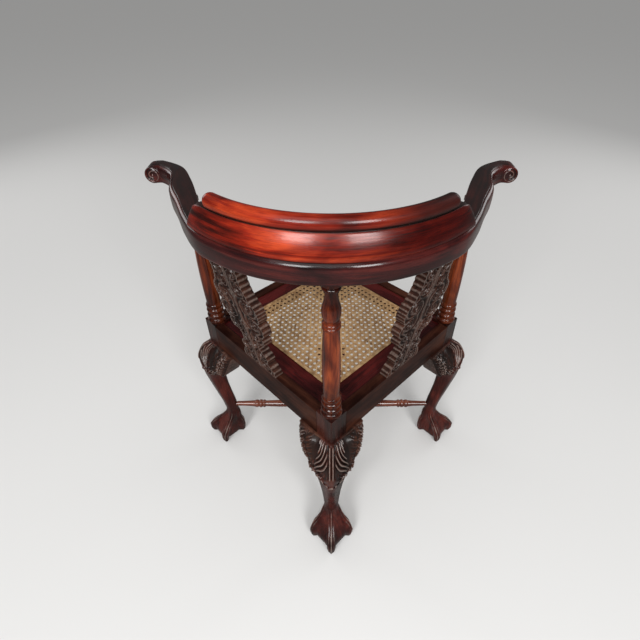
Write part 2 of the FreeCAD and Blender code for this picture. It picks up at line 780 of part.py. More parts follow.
def arm_shape():
    thick = size("arm_thick")
    face = arm_plan()
    face.translate(Vector(0, 0, size("arm_bottom")))
    arm = face.extrude(Vector(0, 0, thick))
    arm = arm.makeFillet(thick * 0.16, outer_edges(arm, size("arm_top")))
    arm = arm.makeFillet(thick * 0.12, outer_edges(arm, size("arm_bottom")))
    arm = arm.fuse(scroll_end())
    depth = size("column_tenon") + 2
    cuts = [column_hole(size("arm_bottom") - 1, depth), turned(column_hole(size("arm_bottom") - 1, depth), 90)]
    cuts.append(arm_splat_slot())
    cuts += [crest_screw_room(angle) for angle in crest_screw_angles() if angle < 90]
    return arm.cut(cuts)


def arm_splat_slot():
    """Slot in the arm's underside for the splat's upper tenon, in the left arm's place."""
    mid = splat_foot_mid() + size("splat_lean")
    slot = splat_mortise(size("arm_bottom") - 1, size("arm_bottom") + size("splat_tenon"), mid, 0.0)
    return turned(slot, -45)


def crest_screw_angles():
    """Directions of the screws that hold the crest, from the +X axis."""
    return [90 - 26, 90 - 12, 90 + 12, 90 + 26]


def crest_screw_place(angle):
    radius = size("arm_inner") + size("arm_width") * 0.52
    turn_by = math.radians(angle)
    return Vector(radius * math.cos(turn_by), radius * math.sin(turn_by), size("arm_bottom"))


def crest_screw_room(angle):
    return screw_room(size("crest_screw"), crest_screw_place(angle), Vector(0, 0, 1))


def make_crest_screws():
    screws = [screw(size("crest_screw"), crest_screw_place(angle), Vector(0, 0, 1))
              for angle in crest_screw_angles()]
    feature_from("crest_screws", Part.makeCompound(screws))


def make_arms():
    left = arm_shape()
    feature_from("arm_left", left.Solids[0])
    right = left.mirror(Vector(), Vector(1, 0, 0))
    feature_from("arm_right", right.Solids[0])


# Crest rail on top of the bow: a leaning band under a thick roll

def crest_end_edges(shape, z):
    """The two straight upper edges across the ends of the crest's band."""
    return [edge for edge in shape.Edges
            if isinstance(edge.Curve, Part.Line) and all(abs(v.Point.z - z) < 0.01 for v in edge.Vertexes)]


def crest_shape():
    out = size("arm_outer") - size("crest_set_in")
    low, band = size("arm_top"), size("crest_band")
    lean, roll = size("crest_lean"), size("crest_roll")
    foot = size("arm_inner") + size("crest_set_in")
    neck = Vector(out - lean, 0, low + band)
    back = Vector(foot + lean * 0.2, 0, low + band)
    edge = low + band * 0.1
    front_arc = Part.Arc(Vector(out, 0, edge), Vector(out - lean * 0.32, 0, low + band * 0.52), neck)
    edges = [
        Part.LineSegment(Vector(foot, 0, low), Vector(out, 0, low)).toShape(),
        Part.LineSegment(Vector(out, 0, low), Vector(out, 0, edge)).toShape(),
        front_arc.toShape(),
        Part.LineSegment(neck, back).toShape(),
        Part.LineSegment(back, Vector(foot, 0, low)).toShape(),
    ]
    reach, roll_reach = size("crest_angle"), size("roll_angle")
    axis = Vector(0, 0, 1)
    band_solid = Part.Face(Part.Wire(edges)).revolve(Vector(), axis, 2 * reach)
    band_solid.rotate(Vector(), axis, 90 - reach)
    band_solid = band_solid.makeFillet(size("crest_corner"), crest_end_edges(band_solid, low + band))
    centre = Vector(out - lean - roll * 0.75, 0, low + band + roll * 0.6)
    ring = Part.Wire(Part.Circle(centre, Vector(0, 1, 0), roll).toShape())
    roll_solid = Part.Face(ring).revolve(Vector(), axis, 2 * roll_reach)
    roll_solid.rotate(Vector(), axis, 90 - roll_reach)
    pieces = [roll_solid]
    for side in (-1, 1):
        tip = Part.makeSphere(roll, centre)
        tip.rotate(Vector(), axis, 90 + side * roll_reach)
        pieces.append(tip)
    crest = band_solid.fuse(pieces)
    return crest.cut([crest_screw_room(angle) for angle in crest_screw_angles()])


# Splats: carved boards between the back rails and the bow, leaning outward

def splat_outline():
    """Half outline of the scrolled board, as arcs from the rail to the arm, mirrored."""
    tall, u = size("splat_height"), size("splat_half") / 50
    arcs = [
        ((50, 9), (44, 24), (35, 36)),
        ((35, 36), (41, 48), (33, 60)),
        ((33, 60), (26, 76), (29, 94)),
        ((29, 94), (51, 104), (46, 120)),
        ((46, 120), (62, 140), (55, 163)),
        ((55, 163), (63, 187), (50, 212)),
        ((50, 212), (41, 236), (40, 262)),
    ]
    scale = tall / 303
    foot, head = 50 * u, 40 * u
    edges = [line((-foot, 0), (foot, 0)), line((foot, 0), (foot, 9 * scale)), line((-foot, 0), (-foot, 9 * scale))]
    for a, b, c in arcs:
        for side in (-1, 1):
            edges.append(arc(*[(side * x * u, z * scale) for x, z in (a, b, c)]))
    edges += [line((head, 262 * scale), (head, tall)), line((-head, 262 * scale), (-head, tall)),
              line((-head, tall), (head, tall))]
    return edges


def splat_scrolls():
    """Rings of the main scrolls: sideways place, height, outer and inner radius."""
    rings = [(22, 20, 10, 5), (21, 52, 10, 5), (17, 79, 8, 4), (26, 108, 12, 6), (34, 146, 15, 8),
             (31, 188, 15, 8), (23, 226, 12, 6), (18, 256, 10, 5), (20, 283, 9, 4)]
    u, scale = size("splat_half") / 50, size("splat_height") / 303
    return [(side * x * u, z * scale, far * u, near * u) for x, z, far, near in rings for side in (-1, 1)]


def splat_ornament(face):
    """Raised forms on a splat's outer face, drawn flat: rim, stem down the middle and scroll rings."""
    rim, tall = size("splat_rim"), size("splat_height")
    forms = [face.cut(face.makeOffset2D(-rim)), Part.makePlane(rim * 1.4, tall, Vector(-rim * 0.7, 0, 0))]
    for x, z, far, near in splat_scrolls():
        disc, hole = [Part.Face(Part.Wire(Part.makeCircle(radius, Vector(x, z, 0)))) for radius in (far, near)]
        forms.append(disc.cut(hole))
    return forms[0].fuse(forms[1:]).common(face).removeSplitter()


def splat_layer(flat, inward_from, inward_to):
    """Drawn faces carried through the leaning board, between two depths behind its outer face."""
    half, low, lean, tall = size("half"), size("seat_height"), size("splat_lean"), size("splat_height")
    flat = flat.copy()
    flat.rotate(Vector(), Vector(1, 0, 0), 90)
    flat.translate(Vector(0, half + lean + 5, low))
    block = flat.extrude(Vector(0, -(size("splat_thick") + lean + 20), 0))
    reach = 2 * size("splat_half")
    side = [Vector(-reach, half - inward_to, low), Vector(-reach, half - inward_from, low),
            Vector(-reach, half + lean - inward_from, low + tall), Vector(-reach, half + lean - inward_to, low + tall)]
    slab = Part.Face(Part.makePolygon(side + side[:1])).extrude(Vector(2 * reach, 0, 0))
    return block.common(slab)


def make_splat(name, angle):
    """Leaning board with raised main forms on its outer face, and upright tenons."""
    thick, lean, tall = size("splat_thick"), size("splat_lean"), size("splat_height")
    low, relief = size("seat_height"), size("splat_relief")
    wire = Part.Wire(Part.__sortEdges__([edge.toShape() for edge in splat_outline()]))
    face = Part.Face(wire)
    board = splat_layer(face, relief, thick).fuse(splat_layer(splat_ornament(face), 0, relief))
    foot = splat_mortise(low - size("splat_tenon"), low, splat_foot_mid(), 0.0)
    head = splat_mortise(low + tall, low + tall + size("splat_tenon"), splat_foot_mid() + lean, 0.0)
    board = board.fuse([foot, head]).removeSplitter()
    return feature_from("splat_" + name, board.Solids[0], angle - 90)


def build():
    for name, angle in RAIL_ANGLES.items():
        make_rail(name, angle, name.startswith("back"))
    for name, angle in POST_ANGLES.items():
        make_leg(name, angle)
        make_block(name, angle)
    for name, angle in RAIL_ANGLES.items():
        for side, end in ((1, "a"), (-1, "b")):
            make_bracket(f"knee_bracket_{name}_{end}", angle, side)
    for name, angle in POST_ANGLES.items():
        if name != "front":
            make_column(name, angle)
    make_stretcher("side", 0, True)
    make_stretcher("long", 90, False)
    make_stile("back_left", 45, (-1, 1))
    make_stile("front_right", 225, (1,))
    make_seat_rail("back_right", 135)
    make_seat_rail("front_left", 315)
    make_cane()
    make_binding()
    for name in ("back_left", "back_right"):
        make_splat(name, RAIL_ANGLES[name])
    make_arms()
    feature_from("crest_rail", crest_shape().Solids[0])
    make_corner_screws()
    make_crest_screws()


def node_objects():
    """The pieces to hand over: bodies and stand-alone features, not what bodies are made of."""
    return [item for item in doc.Objects if item.TypeId in ("PartDesign::Body", "Part::Feature")]


def check_and_write():
    doc.recompute()
    for item in doc.Objects:
        if "Invalid" in item.State or "Error" in item.State:
            raise RuntimeError(item.Label + " did not build")
    for item in node_objects():
        if item.Shape.isNull() or not item.Shape.isValid():
            raise RuntimeError(item.Label + " has a bad shape")
        item.Shape.exportStep("parts/" + item.Label + ".step")


build()
check_and_write()
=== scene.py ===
import math
import bpy
import numpy as np
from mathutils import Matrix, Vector


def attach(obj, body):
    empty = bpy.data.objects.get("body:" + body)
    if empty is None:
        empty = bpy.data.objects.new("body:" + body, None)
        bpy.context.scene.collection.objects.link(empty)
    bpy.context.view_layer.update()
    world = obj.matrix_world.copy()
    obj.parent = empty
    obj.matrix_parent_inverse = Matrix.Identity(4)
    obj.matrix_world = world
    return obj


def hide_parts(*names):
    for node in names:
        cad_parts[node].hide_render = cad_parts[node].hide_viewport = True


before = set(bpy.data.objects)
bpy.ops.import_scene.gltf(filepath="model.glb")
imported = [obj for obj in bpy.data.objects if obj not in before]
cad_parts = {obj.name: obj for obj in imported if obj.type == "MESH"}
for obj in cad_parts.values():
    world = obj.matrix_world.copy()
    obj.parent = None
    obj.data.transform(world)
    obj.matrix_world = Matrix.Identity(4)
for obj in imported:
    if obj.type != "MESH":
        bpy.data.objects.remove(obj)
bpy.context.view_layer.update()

print("frame loaded")

# Sizes shared by several pieces, in metres. Posts lie on the X and Y axes, the sitter faces -Y
chair = {
    "half": 0.204,          # seat frame, centre to outer face
    "postSide": 0.040,
    "postMid": 0.26022,     # centre to a post's middle
    "railLow": 0.361,
    "railTop": 0.425,
    "postTop": 0.428,
    "rebateFloor": 0.404,
    "lipIn": 0.184,         # centre to the inner face of the lip round the seat
    "armBottom": 0.721,
    "armTop": 0.757,
    "armOuter": 0.27902,
    "armInner": 0.23402,
}
legTurn = {"left": 0.0, "back": 90.0, "right": 180.0, "front": 270.0}
railTurn = {"back_left": 45.0, "back_right": 135.0, "front_right": 225.0, "front_left": 315.0}


# ---- small mesh tools

# closed tube over a grid of rows x columns: its quads, and one polygon over each end
def tubeFaces(rows, columns):
    r, c = [a.ravel() for a in np.meshgrid(np.arange(rows - 1), np.arange(columns), indexing="ij")]
    low, nextColumn = r * columns, (c + 1) % columns
    quads = np.stack([low + c, low + nextColumn, low + columns + nextColumn, low + columns + c], 1)
    first = np.arange(columns)[::-1].tolist()
    last = ((rows - 1) * columns + np.arange(columns)).tolist()
    return quads.tolist() + [first, last]


def flipped(faces):
    return [face[::-1] for face in faces]


# turn about the chair's vertical axis
def turned(points, degrees):
    a = math.radians(degrees)
    x, y, z = points[..., 0], points[..., 1], points[..., 2]
    return np.stack([x * math.cos(a) - y * math.sin(a), x * math.sin(a) + y * math.cos(a), z], -1)


# grain that runs up the piece
def uprightGrain(points, middle=0.0):
    return points[..., [2, 0, 1]] - (0, middle, 0)


def putObject(name, data):
    thing = bpy.data.objects.new(name, data)
    bpy.context.scene.collection.objects.link(thing)
    return thing


# one piece from its shells, each with points [rows, columns, 3], faces, grain and relief: grain is
# along / across / across in the piece's own run, relief -1 in the deepest cuts, painted with grime
# and shade, and 1 on the ridges, painted with wear and highlights
def putMesh(name, shells, material, degrees=0.0, body="chair", sharp=38.0):
    points, faces, grains, reliefs, count = [], [], [], [], 0
    for shellPoints, shellFaces, grain, relief in shells:
        flat = shellPoints.reshape(-1, 3)
        points.append(flat)
        faces += [[count + i for i in face] for face in shellFaces]
        grains.append(np.broadcast_to(grain, shellPoints.shape).reshape(-1, 3))
        reliefs.append(np.broadcast_to(relief, shellPoints.shape[:-1]).reshape(-1))
        count += len(flat)
    mesh = bpy.data.meshes.new(name)
    mesh.from_pydata(turned(np.concatenate(points), degrees).tolist(), [], faces)
    mesh.update()
    layer = mesh.attributes.new("grain", "FLOAT_VECTOR", "POINT")
    layer.data.foreach_set("vector", np.concatenate(grains).astype(np.float32).ravel())
    layer = mesh.attributes.new("relief", "FLOAT", "POINT")
    layer.data.foreach_set("value", np.concatenate(reliefs).astype(np.float32))
    mesh.shade_smooth()
    mesh.set_sharp_from_angle(angle=math.radians(sharp))
    mesh.materials.append(material)
    piece = putObject(name, mesh)
    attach(piece, body)
    return piece


# smooth line through knots: cubic between neighbours with the slope of the chord around each knot
def smoothThrough(at, knots, where):
    at, knots, where = [np.asarray(values, float) for values in (at, knots, where)]
    if knots.ndim == 1:
        return smoothThrough(at, knots[:, None], where)[..., 0]
    slope = np.empty_like(knots)
    slope[1:-1] = (knots[2:] - knots[:-2]) / (at[2:] - at[:-2])[:, None]
    slope[0] = (knots[1] - knots[0]) / (at[1] - at[0])
    slope[-1] = (knots[-1] - knots[-2]) / (at[-1] - at[-2])
    i = np.clip(np.searchsorted(at, where) - 1, 0, len(at) - 2)
    span = at[i + 1] - at[i]
    t = np.clip((where - at[i]) / span, 0, 1)[..., None]
    span = span[..., None]
    return ((2 * t**3 - 3 * t**2 + 1) * knots[i] + (t**3 - 2 * t**2 + t) * span * slope[i]
            + (3 * t**2 - 2 * t**3) * knots[i + 1] + (t**3 - t**2) * span * slope[i + 1])


# length from the line's start to each of its points
def runAlong(line):
    return np.concatenate([[0], np.cumsum(np.hypot(*np.diff(line, axis=0).T))])


def bump(x, width):
    return np.exp(-(x / width) ** 2)


def step(x, low, high):
    t = np.clip((x - low) / (high - low), 0, 1)
    return t * t * (3 - 2 * t)


def blend(below, above, amount):
    return below * (1 - amount) + above * amount


# ---- materials

# links an output to an input, or sets the input where the value is plain
def feed(tree, socket, value):
    if hasattr(value, "links"):
        tree.links.new(value, socket)
    else:
        socket.default_value = (*value, 1) if socket.type == "RGBA" else value


# shader node with values or links for its inputs
def addNode(tree, kind, **values):
    node = tree.nodes.new("ShaderNode" + kind)
    for key, value in values.items():
        feed(tree, node.inputs[key], value)
    return node


def newMaterial(name):
    material = bpy.data.materials.new(name)
    material.use_nodes = True
    tree = material.node_tree
    tree.nodes.clear()
    shader = addNode(tree, "BsdfPrincipled")
    addNode(tree, "OutputMaterial", Surface=shader.outputs[0])
    return material, tree, shader


def objectPlace(tree):
    return addNode(tree, "TexCoord").outputs["Object"]


def attributeNode(tree, name, output):
    node = addNode(tree, "Attribute")
    node.attribute_name = name
    return node.outputs[output]


def mappedBy(tree, where, scale, turn=(0, 0, 0)):
    turn = [math.radians(a) for a in turn]
    return addNode(tree, "Mapping", Vector=where, Scale=scale, Rotation=turn).outputs[0]


# noise over a place stretched by three factors, the first one along the grain
def noiseNode(tree, where, stretch, detail, rough, distortion=0.0):
    where = mappedBy(tree, where, stretch)
    return addNode(tree, "TexNoise", Vector=where, Scale=1.0, Detail=detail, Roughness=rough,
                   Distortion=distortion).outputs["Fac"]


# a stop is its place and its colour, or one number for a grey
def rampNode(tree, source, *stops):
    node = addNode(tree, "ValToRGB", Fac=source)
    marks = node.color_ramp.elements
    while len(marks) > 1:
        marks.remove(marks[-1])
    marks[0].position = stops[0][0]
    for i, (place, colour) in enumerate(stops):
        mark = marks.new(place) if i else marks[0]
        mark.color = (*colour, 1) if isinstance(colour, tuple) else (colour, colour, colour, 1)
    return node.outputs[0]


def mathNode(tree, kind, a, b):
    node = addNode(tree, "Math")
    node.operation = kind
    feed(tree, node.inputs[0], a)
    feed(tree, node.inputs[1], b)
    return node.outputs[0]


def mixNode(tree, kind, amount, a, b):
    node = addNode(tree, "Mix")
    node.data_type, node.blend_type = "RGBA", kind
    for key, value in (("Factor", amount), ("A", a), ("B", b)):
        feed(tree, node.inputs[key], value)
    return node.outputs["Result"]


def paintShader(tree, shader, base, roughness):
    feed(tree, shader.inputs["Base Color"], base)
    feed(tree, shader.inputs["Roughness"], roughness)


def bumpOn(tree, shader, height, strength, distance):
    node = addNode(tree, "Bump", Height=height, Strength=strength, Distance=distance)
    tree.links.new(node.outputs[0], shader.inputs["Normal"])


# what all the wood shares; each noise has its stretch, detail, roughness and distortion
figure = {
    "broad": ((3.2, 46, 46), 4.0, 0.55, 1.4),
    "fine": ((11, 300, 300), 5.0, 0.6, 0.3),
    "cloud": ((9, 21, 21), 3.0, 0.55, 0.6),
    "pores": ((70, 1500, 1500), 2.0, 0.5),
    "scratch": ((160, 260, 260), 4.0, 0.6),
    "share": {"broad": 0.5, "fine": 0.2, "cloud": 0.3},
    "smoke": (0.5, 0.46, 0.46),
    "poreShade": (0.45, 0.4, 0.4),
    "poreDepth": 0.55,
    # dark colour for the cuts: dirt and painted shade
    "grimeAndShade": (0.006, 0.003, 0.002),
    "coatRough": 0.1,
    "bumpStrength": 0.12,
    "bumpHeight": 0.0004,
}


# polished wood: streaks along the grain from stretched noise, smoky clouds of light and dark,
# fine dark pores; carved pieces also get dirt and painted shade in the cuts and wear and painted
# highlights on the ridges; tint multiplies the colour by place: an axis, what is added to it, and
# the stops
def polishedWood(name, light, mid, dark, rough=0.2, coat=0.1, gloss=0.25, spread=0.12, turn=None,
                 carved=0.0, wearAndHighlight=(0.22, 0.16, 0.135), tint=None):
    material, tree, shader = newMaterial(name)
    if turn is None:
        along = attributeNode(tree, "grain", "Vector")
    else:
        along = mappedBy(tree, objectPlace(tree), (1, 1, 1), turn)
    noise = {key: noiseNode(tree, along, *figure[key])
             for key in ("broad", "fine", "cloud", "pores")}
    shares = [mathNode(tree, "MULTIPLY", noise[key], share)
              for key, share in figure["share"].items()]
    streaks = mathNode(tree, "ADD", mathNode(tree, "ADD", shares[0], shares[1]), shares[2])
    base = rampNode(tree, streaks, (0.49 - spread, dark), (0.48, mid), (0.49 + spread * 0.8, light))
    smoke = rampNode(tree, noise["cloud"], (0.34, figure["smoke"]), (0.58, 1.0))
    base = mixNode(tree, "MULTIPLY", 1.0, base, smoke)
    poreShade = rampNode(tree, noise["pores"], (0.36, figure["poreShade"]), (0.5, 1.0))
    base = mixNode(tree, "MULTIPLY", figure["poreDepth"], base, poreShade)
    if tint:
        axis, shift, stops = tint
        apart = addNode(tree, "SeparateXYZ", Vector=objectPlace(tree))
        where = mathNode(tree, "ADD", apart.outputs[axis], shift)
        base = mixNode(tree, "MULTIPLY", 1.0, base, rampNode(tree, where, *stops))
    roughness = rampNode(tree, noise["fine"], (0.3, rough + 0.1), (0.7, rough - 0.03))
    if carved:
        # painted shade and highlight: low relief mixes in the dark colour, partly dirt and partly
        # shade; high relief mixes in the pale colour, partly wear and partly highlight
        high = mathNode(tree, "MULTIPLY", attributeNode(tree, "relief", "Fac"), 0.5)
        high = mathNode(tree, "ADD", high, 0.5)
        scratch = mathNode(tree, "MULTIPLY", noiseNode(tree, along, *figure["scratch"]), 0.5)
        wearAndHighlightAt = mathNode(tree, "SUBTRACT", mathNode(tree, "ADD", high, scratch), 0.5)
        wearAndHighlightMix = rampNode(tree, wearAndHighlightAt, (0.38, 0.0), (0.78, carved))
        cutGrimeAndShade = rampNode(tree, high, (0.08, 0.9), (0.46, 0.0))
        base = mixNode(tree, "MIX", cutGrimeAndShade, base, figure["grimeAndShade"])
        base = mixNode(tree, "MIX", wearAndHighlightMix, base, wearAndHighlight)
        roughness = mixNode(tree, "MIX", cutGrimeAndShade, roughness, (0.55, 0.55, 0.55))
    paintShader(tree, shader, base, roughness)
    shader.inputs["Specular IOR Level"].default_value = gloss
    shader.inputs["Coat Weight"].default_value = coat
    shader.inputs["Coat Roughness"].default_value = figure["coatRough"]
    bumpOn(tree, shader, mathNode(tree, "ADD", noise["fine"], noise["pores"]),
           figure["bumpStrength"], figure["bumpHeight"])
    return material


# reddish shins, columns darker at foot and head, a crest that darkens towards both ends and most at
# the -X end, partly the wood's own tone and partly painted shade
shinRed = ("Z", 0.0, [(0.0, (1.1, 0.8, 0.9)), (0.24, (1.1, 0.72, 0.8)), (0.30, 1.0), (0.360, 1.0),
                      (0.362, (0.7, 0.6, 0.58))])
darkRings = ("Z", 0.0, [(0.425, (0.28, 0.28, 0.32)), (0.49, (0.36, 0.36, 0.4)), (0.535, 1.0),
                        (0.655, 1.0), (0.68, (0.5, 0.48, 0.5)), (0.73, (0.4, 0.38, 0.4))])
darkEnds = ("X", 0.5, [(0.28, (0.12, 0.06, 0.1)), (0.38, (0.2, 0.12, 0.18)),
                       (0.46, (0.6, 0.58, 0.66)), (0.56, 1.0), (0.64, (0.85, 0.8, 0.75)),
                       (0.72, (0.6, 0.45, 0.4))])
finish = {
    "crest": dict(light=(0.50, 0.055, 0.014), mid=(0.29, 0.018, 0.006), dark=(0.05, 0.004, 0.002),
                  spread=0.1, rough=0.21, gloss=0.33, carved=0.1, tint=darkEnds),
    "arm": dict(light=(0.088, 0.012, 0.009), mid=(0.036, 0.0055, 0.0055),
                dark=(0.010, 0.0022, 0.0026), coat=0.4, carved=0.5),
    "column": dict(light=(0.30, 0.060, 0.016), mid=(0.135, 0.022, 0.008),
                   dark=(0.030, 0.005, 0.003), spread=0.1, rough=0.18, coat=0.25, tint=darkRings),
    "rail": dict(light=(0.060, 0.020, 0.011), mid=(0.034, 0.010, 0.006),
                 dark=(0.012, 0.004, 0.003), rough=0.32, gloss=0.06, coat=0.05),
    "leg": dict(light=(0.078, 0.021, 0.013), mid=(0.040, 0.010, 0.007),
                dark=(0.012, 0.004, 0.003), rough=0.26, gloss=0.2, coat=0.2, carved=0.8,
                wearAndHighlight=(0.28, 0.22, 0.19), tint=shinRed),
    "carved": dict(light=(0.072, 0.026, 0.015), mid=(0.040, 0.014, 0.009),
                   dark=(0.014, 0.006, 0.004), rough=0.28, gloss=0.2, coat=0.2, carved=0.8,
                   wearAndHighlight=(0.26, 0.20, 0.17)),
    "seat": dict(light=(0.085, 0.009, 0.008), mid=(0.042, 0.005, 0.005),
                 dark=(0.014, 0.002, 0.002)),
    "stretcher": dict(light=(0.26, 0.085, 0.050), mid=(0.14, 0.040, 0.024),
                      dark=(0.045, 0.013, 0.009), rough=0.16, gloss=0.5, coat=0.3),
    "beech": dict(light=(0.50, 0.33, 0.19), mid=(0.42, 0.27, 0.15), dark=(0.3, 0.18, 0.1),
                  rough=0.6, coat=0.0),
}


def wood(kind, ending="", turn=None):
    return polishedWood(kind + "Wood" + ending, turn=turn, **finish[kind])


crestWood, armWood, legWood, carvedWood = [wood(kind) for kind in ("crest", "arm", "leg", "carved")]
columnWood = wood("column", turn=(0, 90, 0))
stretcherWoodX = wood("stretcher", "X", (0, 0, 0))
stretcherWoodY = wood("stretcher", "Y", (0, 0, 90))
railWoodA, railWoodB = wood("rail", "A", (0, 0, 45)), wood("rail", "B", (0, 0, -45))
seatWoodA, seatWoodB = wood("seat", "A", (0, 0, 45)), wood("seat", "B", (0, 0, -45))
beechWood = wood("beech", turn=(0, 0, 0))
print("wood materials ready")


# ---- the carved shield on each knee, shared by the knee and the two ears beside it

shield = {
    # half width, measured round the surface, by depth under the rail
    "edge": [(0.0, 0.1045), (0.008, 0.104), (0.0288, 0.0965), (0.056, 0.086), (0.070, 0.0795),
             (0.0768, 0.0735), (0.080, 0.062), (0.0845, 0.050), (0.092, 0.033), (0.098, 0.016),
             (0.1015, 0.0)],
    "railPlace": 0.224,     # half width on the ears = this less the place along the rail
    "kneeStretch": 1.3,     # half width on the knee's middle = this times the sideways place
    # chains of curls: distance in from the edge, half width of the chain, step along the edge and
    # where it starts, ring radius, line width, and the side on which a ring stands highest
    "chains": [dict(middle=0.0062, reach=0.0057, pitch=0.0108, shift=0.0, ring=0.0037,
                    line=0.0013, facing=0.9),
               dict(middle=0.0200, reach=0.0080, pitch=0.0142, shift=0.004, ring=0.0054,
                    line=0.0016, facing=-2.2)],
    "leaf": 0.0130,
    "flute": 0.0135,
    "fluteSlope": 2.5,
    "ribLength": 0.064,
    "ground": -0.75,
    "depth": 0.0029,
}


# distance from points to the shield's edge, and how far along the edge the nearest place lies
def nearShieldEdge(w, q):
    knots = np.array(shield["edge"])
    depth = np.linspace(0, 1, 160) ** 0.8 * knots[-1, 0]
    edge = np.stack([smoothThrough(knots[:, 0], knots[:, 1], depth), depth], 1)
    gap = (w[..., None] - edge[:, 0]) ** 2 + (q[..., None] - edge[:, 1]) ** 2
    nearest = np.argmin(gap, -1)
    distance = np.sqrt(np.take_along_axis(gap, nearest[..., None], -1)[..., 0])
    halfWidth = np.interp(q, knots[:, 0], knots[:, 1], right=-0.01)
    return np.where(w < halfWidth, distance, -distance), runAlong(edge)[nearest]


# height of the carving at half width w and depth q: a bead under the rail, a ridge down the
# middle between grooves, slanting flutes beside it, two chains of curls inside the edge - a ring
# and a bud each, from the distance to its centre - and faint two-lobed leaves inside those
def shieldCarving(w, q):
    d, along = nearShieldEdge(w, q)
    a = w / shield["kneeStretch"]
    height = np.full_like(d, shield["ground"])
    for chain in shield["chains"]:
        u = np.mod(along + chain["shift"], chain["pitch"]) - chain["pitch"] / 2
        v = d - chain["middle"]
        rho, around = np.hypot(u, v * 0.85), np.arctan2(v, u)
        ring = bump(rho - chain["ring"], chain["line"])
        curl = ring * (0.55 + 0.45 * np.cos(around - chain["facing"])) + bump(rho, chain["line"])
        near = step(chain["reach"] - np.abs(v), 0, 0.001)
        height = blend(height, 1.9 * np.clip(curl, 0, 1) - 0.9, near)
    cell = np.mod(along / shield["leaf"] + 20 * d, 1.0) - 0.5
    leaf = 0.8 * (bump(cell - 0.17, 0.13) + 0.85 * bump(cell + 0.22, 0.11))
    height = height + leaf * step(d, 0.0275, 0.0300) * step(0.045 - d, 0, 0.01)
    bend = q - shield["fluteSlope"] * (a - 0.008)
    fan = (step(a, 0.0068, 0.0078) * step(0.029 - a, 0, 0.003) * step(0.036 - bend, 0, 0.003)
           * step(d, 0.0265, 0.029))
    height = blend(height, 0.95 * np.cos(2 * math.pi * bend / shield["flute"]), fan)
    pendant = step(q - 1.6 * a, 0.052, 0.056) * step(d, 0.0105, 0.0118)
    height = blend(height, 0.1, pendant)
    rib = bump(a - 0.0030, 0.0013) - bump(a, 0.0013) - bump(a - 0.0064, 0.0014)
    ribZone = step(0.0080 - a, 0, 0.001) * step(shield["ribLength"] - q, 0, 0.006)
    height = blend(height, rib, ribZone)
    drop = bump(a, 0.0034) * bump(q - 0.0985, 0.0055)
    height = np.where(d > 0, height, 0) * step(q, 0.0030, 0.0042) + drop
    bead = step(0.0034 - q, 0, 0.0008) * (0.9 * bump(q - 0.0016, 0.0010) - 0.5) * (d > -0.002)
    return np.clip(height + bead, -1, 1)


# ---- cabriole legs

leg = {
    # height, middle's distance from the chair's axis, side of the square, corner radius
    "sections": [(0.361, 0.26022, 0.040, 0.002), (0.3451, 0.27272, 0.055, 0.00825),
                 (0.309, 0.28722, 0.063, 0.0139), (0.2531, 0.29622, 0.045, 0.014),
                 (0.2108, 0.29222, 0.037, 0.0118), (0.1711, 0.28522, 0.0329, 0.0105),
                 (0.1321, 0.27795, 0.030, 0.0099), (0.0910, 0.27495, 0.0288, 0.0098),
                 (0.0762, 0.27895, 0.0366, 0.0121), (0.0512, 0.291, 0.048, 0.0178),
                 (0.0288, 0.299, 0.060, 0.018), (0.0102, 0.300, 0.0582, 0.0157),
                 (0.0, 0.300, 0.048, 0.0139)],
    # height, toe's distance from the middle, its radius
    "toes": [(0.100, 0.003, 0.0085), (0.096, 0.005, 0.0092), (0.0704, 0.0152, 0.0097),
             (0.0422, 0.0331, 0.011), (0.0192, 0.0396, 0.0092), (0.006, 0.0402, 0.0066),
             (0.0, 0.040, 0.0045)],
    "postCorner": 0.0012,
    "web": 0.006,           # softens the seam between toe and foot
    "toeRidge": 0.0013,
    "knuckle": 0.0016,
    "plinthGroove": 0.0008,
    "grainMiddle": 0.26,
}


# distance from the middle of a square that stands on its corner to its edge, by angle:
# flat sides at side / 2 over the cosine to the side's normal, rounded by a circle at each corner
def squareReach(angle, side, corner):
    fold = np.mod(angle, math.pi / 2) - math.pi / 4
    u, v = np.cos(fold), np.abs(np.sin(fold))
    flat = side / 2 / u
    inset = side / 2 - corner
    b = inset * (u + v)
    rounded = b + np.sqrt(np.maximum(b * b - (2 * inset * inset - corner * corner), 0))
    return np.where(flat * v <= inset, flat, rounded)


# the leg's middle, side and corner radius at heights z
def legSection(z):
    knots = np.array(leg["sections"])[::-1]
    middle, side, corner = [smoothThrough(knots[:, 0], knots[:, i], z) for i in (1, 2, 3)]
    post = z > chair["railLow"]
    return (np.where(post, chair["postMid"], middle), np.where(post, chair["postSide"], side),
            np.where(post, leg["postCorner"], corner))


# how far a toe's circle reaches from the foot's middle: q cos(angle) + sqrt(r^2 - (q sin(angle))^2)
def toeReach(z, fold):
    toes = np.array(leg["toes"])[::-1]
    out, radius = [smoothThrough(toes[:, 0], toes[:, i], z) for i in (1, 2)]
    room = radius ** 2 - (out * np.sin(fold)) ** 2
    return np.where(room > 0, out * np.cos(fold) + np.sqrt(np.maximum(room, 0)), 0)


